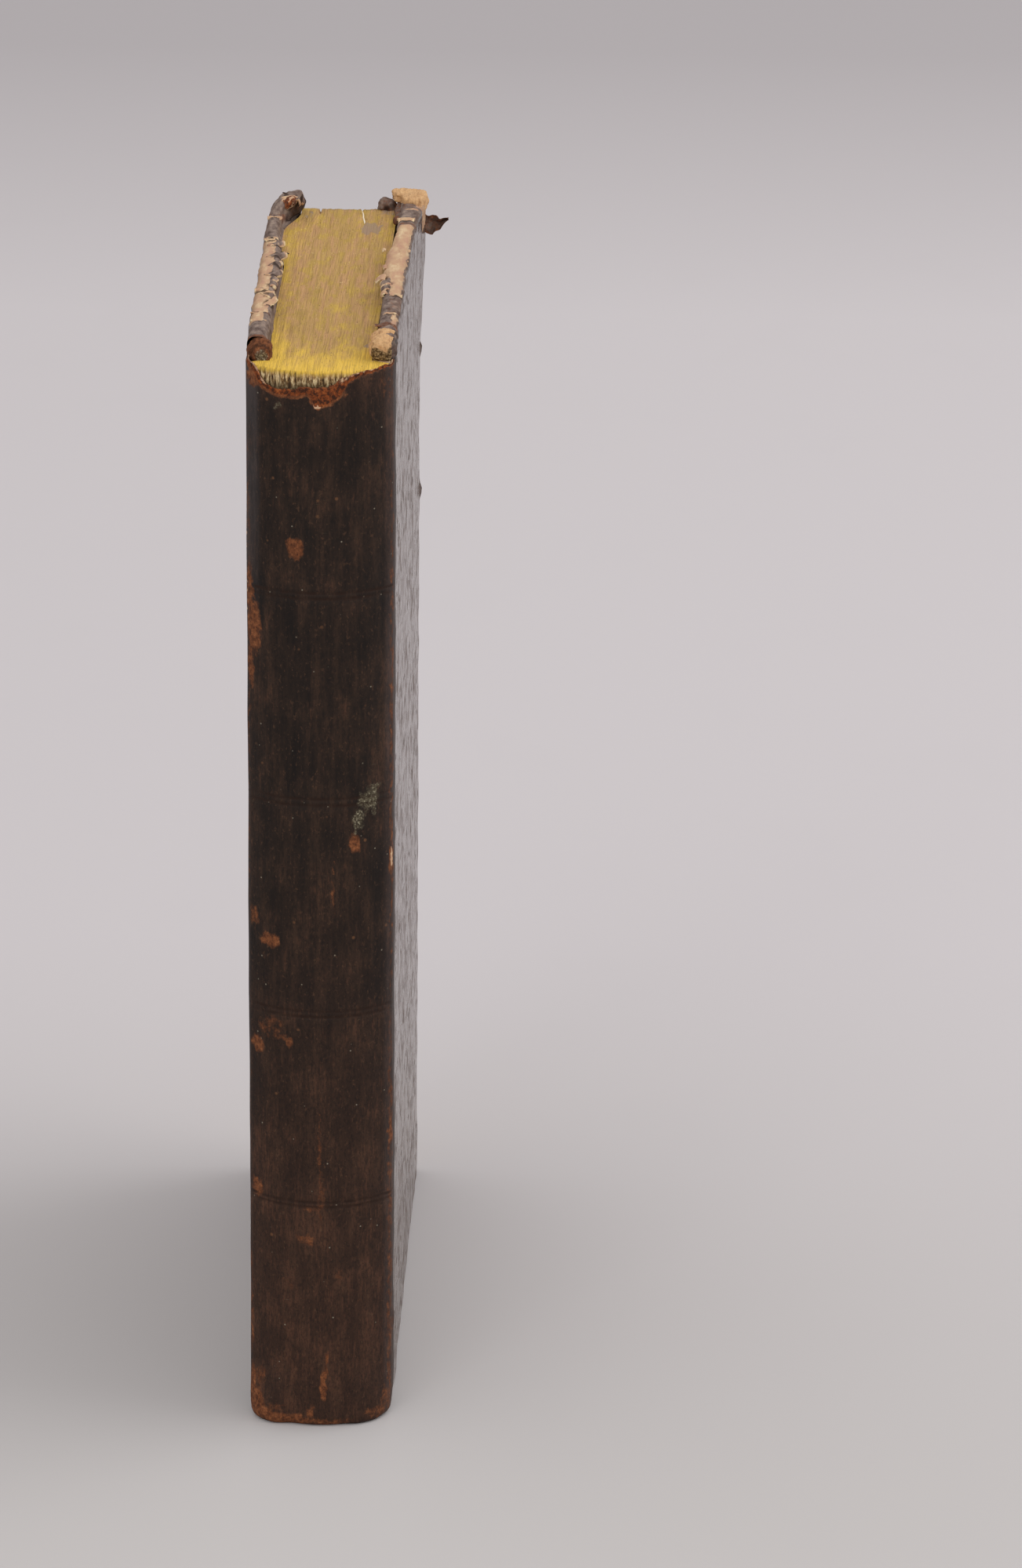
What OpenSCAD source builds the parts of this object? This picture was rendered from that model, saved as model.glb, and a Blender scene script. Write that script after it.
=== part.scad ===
// Worn octavo book bound in full leather over pasteboard, standing on its tail.
// X runs through the thickness with the front cover at +X, and Z runs from tail to head.
// Y runs from the spine, at -Y, to the fore edge.

/* [Book] */
// Height of the boards, tail to head
board_h = 200; // [170:1:230]
// Depth of a cover, from the joint to the fore edge
board_d = 117; // [100:1:140]
// Thickness of the text block between the covers, by the spine
text_t = 17.6; // [14:0.2:30]
// How much thicker the text block is at the fore edge
text_swell = 0.6; // [0:0.1:1]
// How far the rounded spine stands out behind the shoulders
spine_round = 6.3; // [4.5:0.1:7]
// Radius between the round of the spine and the shoulders
shoulder_r = 3; // [2:0.1:4]
// Depth of the backed shoulder in front of the covers
shoulder_d = 3.5; // [3:0.1:6]

/* [Squares] */
// How far the covers stand above the text block at the head, by the spine
square_head = 4.1; // [3.9:0.1:7]
// How far the text block rises towards the fore edge at the head
head_rise = 1.3; // [0:0.1:1.3]
// How far the covers stand below the text block at the tail
square_tail = 3.8; // [2.5:0.1:6]
// How far the covers stand beyond the text block at the fore edge
square_fore = 3; // [1:0.1:6]
// Hollow of the fore edge at its middle
fore_hollow = 0.8; // [0:0.1:3]

/* [Covers] */
// Thickness of a pasteboard
board_t = 2.6; // [1.8:0.1:4]
// Thickness of the covering leather
leather_t = 0.6; // [0.4:0.05:1]
// Thickness of the pared leather turned in over the edges
turnin_t = 0.4; // [0.2:0.05:0.8]
// Width of the leather turned in over the edges
turnin_w = 13; // [8:1:20]
// Thickness of a pastedown
paste_t = 0.25; // [0.15:0.05:0.5]
// Margin of turned-in leather that a pastedown leaves bare
paste_margin = 5; // [3:0.5:8]
// Radius of the worn cover edges
edge_r = 1.4; // [0.8:0.1:1.5]
// Angle by which the front cover stands open, in degrees
front_splay = 0.25; // [0:0.05:0.6]
// Angle by which the back cover stands open, in degrees
back_splay = 0.6; // [0:0.05:0.9]

/* [Sewing] */
// Number of gatherings sewn together
gatherings = 26; // [18:1:34]
// Height of a fold above the thread between two gatherings
fold_h = 0.35; // [0.2:0.05:0.5]
// Number of sewing cords
cords = 4; // [3:1:5]
// Diameter of a sewing cord
cord_d = 1.5; // [1:0.1:2]
// Distance from the head to the first cord
cord_head = 43.5; // [25:0.5:50]
// Distance from the tail to the last cord
cord_tail = 43; // [25:0.5:50]
// Length of a cord slip laced into a cover
slip_l = 6.5; // [5:0.5:12]
// Width of the blind lines beside each cord on the spine
fillet_w = 0.5; // [0.3:0.1:0.8]

/* [Wear] */
// Depth to which the grain of the leather is worn away
graze_t = 0.2; // [0.1:0.05:0.25]
// Length of bare pasteboard at the bruised head corner of the front cover
corner_l = 8.5; // [5:0.5:14]
// How far that corner is swollen outwards
corner_swell = 1.2; // [0:0.1:2]
// Length over which the swelling fades
swell_l = 34; // [20:1:50]
// Length of the torn leather ear at that corner
ear_l = 4.2; // [2:0.1:6]
// Thickness of a lifted flake of leather
flake_t = 0.35; // [0.25:0.05:0.5]

/* [Hidden] */
// Clearances: pages to covers, pieces bedded in one another, covers to shoulders
page_gap = 0.15;
fit = 0.05;
joint_gap = 0.3;

// The cover's layers, counted outwards from the face of the pastedown
core_in = paste_t + turnin_t;
core_out = core_in + board_t;
cover_t = core_out + leather_t;

// Plan of the book: half widths, depths of the joint and fore edges, straight length of the limbs
text_half = text_t / 2;
cover_in = text_half + page_gap;
cover_out = cover_in + cover_t;
joint_y = shoulder_d;
limb_l = 2.4;
fore_y = joint_y + board_d;
text_fore = fore_y - square_fore;

// The spine is a large arc, met on both sides by a small one
flank = cover_out - shoulder_r;
shoulder_y = joint_y - limb_l;
spine_r = (pow(flank, 2) + pow(shoulder_y + spine_round, 2) - pow(shoulder_r, 2))
    / (2 * (shoulder_y + spine_round - shoulder_r));
spine_c = spine_r - spine_round;
spread = atan2(flank, spine_c - shoulder_y);
text_inset = leather_t + fit;

// Depth of the bare pasteboard at the bruised corner, which ends clear of the pages' head
bare_depth = square_head - head_rise - 0.4;

// Cords
kerf = cord_d + 2 * fit;
cord_pitch = (board_h - cord_head - cord_tail) / (cords - 1);
function cord_z(i) = cord_tail + cord_pitch * (cords - i);

// The model's origin is under the middle of the book's own box
low_x = -(cover_out + board_d * sin(back_splay));
high_x = cover_out + board_d * sin(front_splay) + corner_swell + ear_l;
mid_x = (low_x + high_x) / 2;
mid_y = (fore_y - spine_round) / 2;

// Torn edges at the head of the spine: share of the half width, and drop below the head
GRAIN_TEAR = [
    [-1.1, 3.6], [-0.88, 4.4], [-0.78, 5.7], [-0.66, 6.9], [-0.58, 7.3], [-0.42, 7.7],
    [-0.23, 7], [-0.14, 7.7], [-0.08, 8.8], [-0.02, 9.9], [0.05, 9.6], [0.14, 9],
    [0.19, 7.8], [0.28, 7.4], [0.34, 6.1], [0.43, 5.2], [0.61, 4.8], [0.8, 4.7], [1.1, 4.4]
];
FLESH_TEAR = [
    [-1.1, 3.4], [-0.85, 3.9], [-0.76, 5], [-0.64, 6.2], [-0.5, 5.9], [-0.36, 6.3],
    [-0.2, 5.1], [-0.12, 6.4], [-0.05, 7.1], [0.03, 6.4], [0.1, 6.7], [0.2, 5.4],
    [0.3, 5.7], [0.38, 4.6], [0.6, 4.4], [0.8, 4.2], [1.1, 4.1]
];
// Grazes on the spine: share of the half width, height, half width, half height
SPINE_GRAZES = [
    [-0.32, 165, 1.6, 2.2], [-0.9, 150, 1.3, 10.5], [0.49, 111.5, 1.3, 2],
    [-0.69, 92.5, 2, 1.7], [-0.66, 75.5, 3.4, 3], [-0.86, 44.8, 1.3, 1.8],
    [-0.84, 4, 2.2, 4.6], [0.1, 10.2, 1.2, 5], [0.8, 1.8, 2.6, 1.7]
];
// Worn stretches of the head edges: shares of the cover's depth, then inner and outer side
FRONT_WEAR = [[-0.01, 0.077, -1, 3.2], [0.222, 0.291, -1, 2.4], [0.462, 0.812, -1, 2.6]];
BACK_WEAR = [[0.162, 0.205, -1, 5], [0.222, 0.342, 0.8, 5], [0.368, 0.692, 1.9, 5]];
// Lifted flakes: share of the cover's depth, place across the edge, radius, sweep, width, turn
FRONT_CURLS = [
    [0.316, 1.1, 0.5, 210, 3.2, 10], [0.359, 0.9, 0.7, 160, 3.6, -12],
    [0.393, 1.4, 0.4, 240, 2.4, 30], [0.436, 0.9, 0.55, 190, 3, -20],
    [0.859, 1.8, 0.4, 130, 2.6, 80]
];
BACK_CURLS = [
    [0.209, 2.2, 0.4, 130, 3, 85], [0.333, 2, 0.5, 160, 3.2, 70],
    [0.359, 1, 0.75, 230, 3.4, -15], [0.47, 1.3, 0.5, 200, 2.8, 20],
    [0.538, 1.1, 0.6, 240, 3.6, -25], [0.59, 1.4, 0.45, 180, 2.4, 15],
    [0.65, 1.2, 0.6, 210, 3, -10]
];
// Bare pasteboard at the bruised corner: across in board thicknesses, along in corner lengths
BARE_CORNER = [
    [0, -1], [-0.27, -0.81], [-0.58, -0.61], [-0.69, -0.35], [-0.5, 0], [0.15, 0.05], [0.58, 0.01],
    [1, 0.06], [1.46, 0.04], [1.58, -0.18], [1.5, -0.47], [1.27, -0.65], [1.19, -0.88], [1, -1]
];

LEATHER = "#3a2c25";
PASTEBOARD = "#c29c6e";
PAPER = "#b99b58";
LINING = "#cdbb92";
HEMP = "#b3a075";

function arc(cx, cy, r, from, to, steps) =
    [for (i = [0 : steps]) let (a = from + (to - from) * i / steps) [cx + r * cos(a), cy + r * sin(a)]];

function reversed(list) = [for (i = [len(list) - 1 : -1 : 0]) list[i]];

// The spine's outline from limb to limb, moved inwards by an inset
function spine_curve(inset) = concat(
    [[-(cover_out - inset), joint_y - joint_gap]],
    arc(-flank, shoulder_y, shoulder_r - inset, 180, 270 - spread, 8),
    arc(0, spine_c, spine_r - inset, 272 - spread, 268 + spread, 46),
    arc(flank, shoulder_y, shoulder_r - inset, 270 + spread, 360, 8),
    [[cover_out - inset, joint_y - joint_gap]]
);

// The backs of the gatherings, a row of small rounded folds along the spine's arc
function folds() = [
    for (i = [0 : gatherings - 1], t = [0, 0.2, 0.5, 0.8])
        let (a = 270 - spread + 2 * spread * (i + t) / gatherings)
        let (r = spine_r - text_inset - fold_h * (1 - sin(180 * t)))
        [r * cos(a), spine_c + r * sin(a)]
];

// A rectangle with rounded corners of one radius at its near end and one at its far end
function soft_rect(x0, x1, y0, y1, near_r, far_r) = concat(
    arc(x0 + near_r, y0 + near_r, near_r, 180, 270, 5),
    arc(x1 - near_r, y0 + near_r, near_r, 270, 360, 5),
    arc(x1 - far_r, y1 - far_r, far_r, 0, 90, 5),
    arc(x0 + far_r, y1 - far_r, far_r, 90, 180, 5)
);

// A patch with ragged ends, between two places along the edge and two across it
function ragged_span(y0, y1, x0, x1, seed) =
    let (steps = 6, near = rands(-1, 1, steps + 1, seed), far = rands(-1, 1, steps + 1, seed + 1))
    concat(
        [for (i = [0 : steps]) [x0 + (x1 - x0) * i / steps, y0 + near[i]]],
        [for (i = [steps : -1 : 0]) [x0 + (x1 - x0) * i / steps, y1 + far[i]]]
    );

// A ragged round patch
function blob(cx, cy, rx, ry, seed) =
    let (steps = 14, wobble = rands(0.72, 1.12, steps, seed))
    [for (i = [0 : steps - 1]) let (a = 360 * i / steps)
        [cx + rx * wobble[i] * cos(a), cy + ry * wobble[i] * sin(a)]];

module model_frame() {
    translate([-mid_x, -mid_y, 0]) children();
}

// Stands an outline drawn in X and Z upright and gives it a thickness along Y
module upright(y0, y1) {
    translate([0, y1, 0]) rotate([90, 0, 0]) linear_extrude(y1 - y0) children();
}

// A cover's own frame: X outwards from its inner face, Y from the joint, then hinged open a little
module cover_frame(side) {
    model_frame()
        mirror([side < 0 ? 1 : 0, 0, 0])
            translate([cover_in, joint_y, 0])
                rotate([0, 0, side < 0 ? -back_splay : -front_splay])
                    children();
}

module spine_band(outer, inner) {
    polygon(concat(spine_curve(outer), reversed(spine_curve(inner))));
}

// All that lies above a torn edge
module above_tear(tear) {
    upright(-spine_round - 1, joint_y)
        polygon(concat(
            [for (p = tear) [p[0] * cover_out, board_h - p[1]]],
            [[1.1 * cover_out, board_h + 1], [-1.1 * cover_out, board_h + 1]]
        ));
}

module text_plan() {
    fore_half = text_half + text_swell / 2;
    shoulder_x = cover_out - text_inset;
    fore_r = (pow(fore_half, 2) + pow(fore_hollow, 2)) / (2 * max(fore_hollow, 0.01));
    fore_a = asin(fore_half / fore_r);
    polygon(concat(
        [[-text_half, joint_y - joint_gap]],
        arc(-flank, shoulder_y, shoulder_r - text_inset, 180, 270 - spread, 6),
        folds(),
        arc(flank, shoulder_y, shoulder_r - text_inset, 270 + spread, 360, 6),
        [[text_half, joint_y - joint_gap]],
        arc(0, text_fore + fore_r - fore_hollow, fore_r, 270 + fore_a, 270 - fore_a, 12)
    ));
}

// Sweeps a section along the round of the spine, as far as an angle on each side
module along_round(reach) {
    translate([0, spine_c, 0]) rotate([0, 0, -90 - reach])
        rotate_extrude(angle = 2 * reach, $fn = 120) children();
}

// The kerfs that are sawn across the folds for the cords
module kerfs() {
    end_play = 0.5;
    for (i = [1 : cords])
        along_round(spread + end_play)
            translate([spine_r - text_inset - kerf, cord_z(i) - kerf / 2]) square([kerf + 1, kerf]);
}

module text_block() {
    head_z = board_h - square_head;
    opening_l = 13;
    opening_w = 0.4;
    color(PAPER) model_frame() difference() {
        linear_extrude(board_h) text_plan();
        translate([0, 0, -1]) linear_extrude(square_tail + 1) square(4 * board_d, center = true);
        // The head was cut out of square
        translate([-cover_out - 1, 0, 0]) rotate([90, 0, 90]) linear_extrude(2 * cover_out + 2)
            polygon([
                [-spine_round - 1, head_z], [text_fore + 1, head_z + head_rise],
                [text_fore + 1, board_h + 1], [-spine_round - 1, board_h + 1]
            ]);
        kerfs();
        // One opening between leaves at the fore edge of the head
        translate([2, text_fore - opening_l, head_z - opening_l / 2]) rotate([0, 0, -4])
            cube([opening_w, opening_l + 2, opening_l]);
    }
}

module sewing_cord(i) {
    run = spine_r - text_inset - fit - cord_d / 2;
    color(HEMP) model_frame()
        along_round(spread) translate([run, cord_z(i)]) circle(d = cord_d, $fn = 24);
}

// Pairs of lines pressed into the leather over each cord; they fade out at the shoulders
module blind_lines() {
    line_gap = 1;
    for (i = [1 : cords], s = [-1, 1])
        along_round(90)
            translate([spine_r - graze_t, cord_z(i) + s * line_gap / 2 - fillet_w / 2])
                square([1, fillet_w]);
}

module spine_leather() {
    color(LEATHER) model_frame() difference() {
        union() {
            linear_extrude(board_h) spine_band(0, leather_t);
            // The leather is turned in under the tail
            linear_extrude(square_tail - 2 * fit) spine_band(leather_t / 2, 2 * leather_t);
        }
        above_tear(FLESH_TEAR);
        intersection() {
            linear_extrude(board_h + 1) spine_band(-1, leather_t / 2);
            above_tear(GRAIN_TEAR);
        }
        blind_lines();
        intersection() {
            linear_extrude(board_h) spine_band(-1, graze_t);
            for (k = [0 : len(SPINE_GRAZES) - 1]) {
                g = SPINE_GRAZES[k];
                upright(-spine_round - 1, joint_y)
                    polygon(blob(g[0] * cover_out, g[1], g[2], g[3], 20 + k));
            }
        }
    }
}

// A cover-sized slab with rounded edges at head, tail and fore edge
module slab(x0, x1, inset, r, from = 0) {
    intersection() {
        upright(from, board_d + 1) polygon(soft_rect(x0, x1, inset, board_h - inset, r, r));
        linear_extrude(board_h) polygon(soft_rect(x0, x1, from, board_d - inset, 0.01, r));
    }
}

// The outward swelling at the bruised head corner of the front cover
module swelling(face_x, inset) {
    y1 = board_d - inset;
    z1 = board_h - inset;
    bite = 0.4;
    soft = 0.9;
    polyhedron(
        points = [
            [face_x - bite, y1 - swell_l, z1 - soft], [face_x - bite, y1 - soft, z1 - soft],
            [face_x - bite, y1 - soft, z1 - swell_l], [face_x, y1 - swell_l, z1 - soft],
            [face_x + corner_swell, y1 - soft, z1 - soft], [face_x, y1 - soft, z1 - swell_l]
        ],
        faces = [[2, 1, 0], [4, 5, 3], [1, 4, 3, 0], [2, 5, 4, 1], [0, 3, 5, 2]]
    );
}

module slip_place(i) {
    translate([0, slip_l - cord_d / 2, cord_z(i)]) rotate([0, 90, 0]) children();
}

// The lacing hole and the channel that leads to it from the joint
module lacing(i) {
    slip_place(i) translate([0, 0, core_in - 1]) cylinder(h = board_t + 2, d = cord_d + 4 * fit, $fn = 32);
    translate([core_out - cord_d / 2 - fit, -1, cord_z(i) - cord_d / 2])
        cube([cord_d, slip_l + 1 - cord_d / 2, cord_d]);
}

module board_core() {
    difference() {
        slab(core_in, core_out, leather_t, edge_r - leather_t / 2);
        for (i = [1 : cords]) lacing(i);
    }
}

// Bare, mushroomed pasteboard where the leather is lost; it stays above the text block's head
module bare_corner() {
    rise = 0.7;
    translate([0, board_d, board_h - bare_depth]) linear_extrude(bare_depth + rise)
        polygon([for (p = BARE_CORNER) [core_in + p[0] * board_t, p[1] * corner_l]]);
}

module front_board() {
    color(PASTEBOARD) cover_frame(1) union() {
        board_core();
        difference() {
            swelling(core_out, leather_t + fit);
            translate([-1, board_d - 2 * swell_l, -1]) cube([core_out, 3 * swell_l, board_h + 2]);
        }
        bare_corner();
    }
}

module back_board() {
    color(PASTEBOARD) cover_frame(-1) board_core();
}

module slip(i) {
    slip_place(i) translate([0, 0, core_in + fit]) cylinder(h = board_t - 2 * fit, d = cord_d, $fn = 32);
    translate([core_out - cord_d / 2, fit, cord_z(i) - cord_d / 2 + 2 * fit])
        cube([cord_d / 2 - fit, slip_l - cord_d, cord_d - 4 * fit]);
}

module front_slip(i) {
    color(HEMP) cover_frame(1) slip(i);
}

module back_slip(i) {
    color(HEMP) cover_frame(-1) slip(i);
}

// The covering leather round a board, open where the pastedown and the joint are
module covering(swollen) {
    difference() {
        union() {
            slab(paste_t, cover_t, 0, edge_r);
            if (swollen) swelling(cover_t, 0);
        }
        slab(core_in - fit, core_out + fit, leather_t - fit, edge_r - leather_t / 2, -1);
        if (swollen) swelling(core_out + fit, leather_t);
        translate([-1, -1, turnin_w])
            cube([1 + core_in, 1 + board_d - turnin_w, board_h - 2 * turnin_w]);
    }
}

// Stretches of a head edge where the grain is worn away
module head_wear(spans) {
    for (k = [0 : len(spans) - 1]) {
        s = spans[k];
        difference() {
            translate([0, 0, board_h - 2 * edge_r]) linear_extrude(2 * edge_r + 1)
                polygon(ragged_span(s[0] * board_d, s[1] * board_d, s[2], s[3], 40 + 2 * k));
            slab(paste_t + graze_t, cover_t - graze_t, graze_t, edge_r - graze_t, -3);
        }
    }
}

// A flake that rises from the edge and rolls over towards the pages
module curl(radius, sweep, width) {
    root = leather_t / 2;
    translate([-radius, width / 2, 0]) rotate([90, 0, 0])
        rotate_extrude(angle = sweep, $fn = 40) translate([radius, 0]) square([flake_t, width]);
    translate([0, -width / 2, -root]) cube([flake_t, width, root + fit]);
}

module head_curls(curls) {
    for (c = curls)
        translate([c[1], c[0] * board_d, board_h - graze_t]) rotate([0, 0, c[5]]) curl(c[2], c[3], c[4]);
}

// Torn tongue of leather that stands away from the bruised corner; its root ends in the leather
module ear() {
    root = cover_t + 0.8 * corner_swell - leather_t / 2;
    tip = cover_t + corner_swell + ear_l;
    translate([0, board_d - 2.6, board_h]) rotate([90, 0, 0]) linear_extrude(leather_t)
        polygon([
            [root, -2.9], [cover_t + corner_swell, -3.3], [tip - 2.6, -3.2], [tip - 1.3, -3.8],
            [tip, -4.3], [tip - 0.7, -5], [tip - 0.8, -6.2], [tip - 1.9, -6.7], [tip - 2.9, -7.5],
            [tip - 3.9, -6.4], [root, -6.9]
        ]);
}

module front_leather() {
    lost_depth = bare_depth + fit;
    color(LEATHER) cover_frame(1) union() {
        difference() {
            covering(true);
            head_wear(FRONT_WEAR);
            translate([0, 0, board_h - lost_depth]) linear_extrude(lost_depth + 1)
                polygon(ragged_span(board_d - corner_l - fit - 1, board_d + 3, -2, cover_t + 3, 70));
        }
        head_curls(FRONT_CURLS);
        ear();
    }
}

module back_leather() {
    color(LEATHER) cover_frame(-1) union() {
        difference() {
            covering(false);
            head_wear(BACK_WEAR);
        }
        head_curls(BACK_CURLS);
        // The corner has come loose and rolled over
        translate([2, board_d - 5.4, board_h - graze_t]) rotate([0, 0, 8]) curl(1.3, 235, 8);
    }
}

module pastedown() {
    infill_w = turnin_w + fit;
    translate([0, fit, paste_margin]) cube([paste_t, board_d - paste_margin, board_h - 2 * paste_margin]);
    translate([0, fit, infill_w])
        cube([core_in - fit, board_d - fit - infill_w, board_h - 2 * infill_w]);
}

module front_pastedown() {
    color(LINING) cover_frame(1) pastedown();
}

module back_pastedown() {
    color(LINING) cover_frame(-1) pastedown();
}

text_block();
spine_leather();
front_board();
back_board();
front_leather();
back_leather();
front_pastedown();
back_pastedown();
for (i = [1 : cords]) sewing_cord(i);
for (i = [1 : cords]) front_slip(i);
for (i = [1 : cords]) back_slip(i);
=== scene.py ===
"""Dresses a worn leather book that stands on its tail: leaves, leather, wear, floor and light.

Every mesh is drawn in millimetres in the book's own frame, where X = 0 is the middle of the
thickness, Y = 0 lies at the round of the shoulders and Z = 0 is the floor, and is then moved into
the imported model's frame in metres.
"""

from __future__ import annotations

import logging
import math
from collections.abc import Callable, Iterable, Sequence
from dataclasses import dataclass, field
from enum import Enum

import bpy
from mathutils import Matrix, Vector, noise


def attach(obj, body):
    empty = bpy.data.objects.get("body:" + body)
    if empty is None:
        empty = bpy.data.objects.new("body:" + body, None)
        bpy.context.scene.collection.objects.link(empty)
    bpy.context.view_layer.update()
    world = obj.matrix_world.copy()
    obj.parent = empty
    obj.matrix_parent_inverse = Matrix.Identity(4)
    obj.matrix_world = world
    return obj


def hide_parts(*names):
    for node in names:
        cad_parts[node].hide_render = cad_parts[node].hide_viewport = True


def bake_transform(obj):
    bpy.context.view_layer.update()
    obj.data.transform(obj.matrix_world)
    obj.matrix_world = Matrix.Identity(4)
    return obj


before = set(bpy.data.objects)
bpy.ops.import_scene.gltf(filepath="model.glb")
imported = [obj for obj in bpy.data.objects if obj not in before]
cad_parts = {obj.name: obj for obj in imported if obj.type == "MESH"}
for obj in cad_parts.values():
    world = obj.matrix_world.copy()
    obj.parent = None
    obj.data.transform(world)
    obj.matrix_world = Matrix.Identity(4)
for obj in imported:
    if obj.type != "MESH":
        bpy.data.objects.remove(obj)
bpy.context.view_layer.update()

MM = 0.001
Masks = dict[str, float]
Sheets = tuple[list[list[int]], list[list[int]]]
Point = tuple[float, float, float]
Curve = Sequence[tuple[float, float]]
Material = bpy.types.Material
Object = bpy.types.Object
Socket = bpy.types.NodeSocket

log = logging.getLogger("book")


def ease(low: float, high: float, value: float) -> float:
    """Eases from 0 at low to 1 at high; with low the larger one it falls as the value grows."""
    share = min(max((value - low) / (high - low), 0.0), 1.0)
    return share * share * (3.0 - 2.0 * share)


def lerp(a: float, b: float, share: float) -> float:
    """The value at a share of the way from a to b."""
    return a + (b - a) * share


def wobble(x: float, y: float, z: float, seed: int) -> float:
    """Smooth noise from about -1 to 1 at a place that is already divided by its scale."""
    return noise.noise(Vector((x + 31.7 * seed, y - 17.3 * seed, z + 7.1 * seed)))


def spread_evenly(low: float, high: float, step: float) -> list[float]:
    """Values from low up to, and without, high, at most a step apart."""
    count = max(1, math.ceil((high - low) / step))
    return [low + (high - low) * i / count for i in range(count)]


def arc(cx: float, cy: float, radius: float, angle: float) -> tuple[float, float]:
    """The point of a circle at an angle in degrees."""
    return cx + radius * math.cos(math.radians(angle)), cy + radius * math.sin(math.radians(angle))


def ends_and_steps(low: float, high: float, step: float) -> list[float]:
    """Values from low up to and with high, at most a step apart."""
    return spread_evenly(low, high, step) + [high]


def along(points: Curve, place: float) -> float:
    """Reads a curve that is given as (place, value) pairs, straight between them."""
    if place <= points[0][0]:
        return points[0][1]
    for (x0, y0), (x1, y1) in zip(points, points[1:]):
        if place <= x1:
            return lerp(y0, y1, (place - x0) / (x1 - x0))
    return points[-1][1]


@dataclass(frozen=True)
class Plan:
    """Sizes of the book in millimetres, as its solids have them."""

    board_h: float = 200.0
    board_d: float = 117.0
    cover_in: float = 8.95
    cover_t: float = 3.85
    core: Point = (0.65, 1.9, 3.1)
    leather_t: float = 0.6
    lining_t: float = 0.25
    turn_in: float = 7.0
    edge_r: float = 1.4
    joint_y: float = 3.5
    half_t: float = 12.8
    shoulder_r: float = 3.0
    shoulder_y: float = 1.1
    spine_round: float = 6.3
    text_half: float = 8.8
    fore_half: float = 9.1
    text_fore: float = 117.5
    fore_hollow: float = 0.8
    tail_z: float = 3.8
    head_z: float = 195.9
    head_rise: float = 1.3
    gatherings: int = 26
    mid_x: float = 2.34265
    mid_y: float = 57.1

    @property
    def flank(self) -> float:
        """Distance of the shoulder arcs' centres from the middle."""
        return self.half_t - self.shoulder_r

    @property
    def spine_r(self) -> float:
        """Radius of the round of the spine."""
        rise = self.shoulder_y + self.spine_round
        return (self.flank**2 + rise**2 - self.shoulder_r**2) / (2 * (rise - self.shoulder_r))

    @property
    def spine_c(self) -> float:
        """Y of the centre of the round of the spine."""
        return self.spine_r - self.spine_round

    @property
    def spread(self) -> float:
        """Half the angle of the round of the spine, in degrees."""
        return math.degrees(math.atan2(self.flank, self.spine_c - self.shoulder_y))

    def head_at(self, y: float) -> float:
        """Height of the pages' head, which was cut out of square."""
        share = (y + self.spine_round) / (self.text_fore + self.spine_round)
        return self.head_z + self.head_rise * share

    def to_model(self, x: float, y: float, z: float) -> Point:
        """A place in the book's frame as metres in the model's frame."""
        return ((x - self.mid_x) * MM, (y - self.mid_y) * MM, z * MM)


PLAN = Plan()

# Turns at which the points round an edge lie, from its outermost one inwards
BEND_ANGLES = (45, 30, 15)

# Torn edges at the head of the spine: place across the spine, height above the floor
GRAIN_TEAR = (
    (-12.9, 196.6), (-11.8, 195.9), (-11.0, 194.6), (-10.3, 193.4), (-8.8, 192.7), (-7.7, 192.2),
    (-5.4, 192.0), (-3.5, 192.1), (-1.8, 192.5), (-1.0, 191.6), (-0.7, 190.5), (-0.1, 190.3),
    (0.6, 190.5), (2.1, 191.0), (3.7, 192.1), (4.5, 193.2), (5.3, 194.5), (6.9, 195.2),
    (9.1, 195.7), (11.0, 196.1), (12.9, 196.3),
)
FLESH_TEAR = (
    (-12.9, 197.1), (-11.6, 196.6), (-10.8, 195.8), (-10.3, 194.5), (-9.5, 193.7), (-8.4, 193.2),
    (-6.8, 193.0), (-4.6, 193.2), (-3.2, 193.7), (-1.8, 193.7), (-0.4, 193.6), (1.2, 193.7),
    (2.9, 194.2), (3.7, 195.0), (5.0, 195.5), (6.9, 196.0), (9.1, 196.3), (11.7, 196.7),
    (12.9, 196.7),
)
# Height above which the leather's rows follow the torn edge
TORN_FROM = 184.0
# Heights of the lines pressed into the spine
BLIND_LINES = (157.0, 156.0, 119.5, 118.3, 79.9, 78.9, 43.6, 42.7)
# Crack between the leaves at the fore edge: Y and X
CRACK = ((103, 3.4), (106.4, 3.2), (119.3, 2.1))


@dataclass(frozen=True)
class Spot:
    """An oval patch on the spine: its middle, its half sizes in millimetres and its strength."""

    x: float
    z: float
    half_x: float
    half_z: float
    strength: float

    def at(self, x: float, z: float) -> float:
        """How strong the patch is at a place."""
        reach = math.hypot((x - self.x) / self.half_x, (z - self.z) / self.half_z)
        return self.strength * ease(1.35, 0.55, reach)


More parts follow.
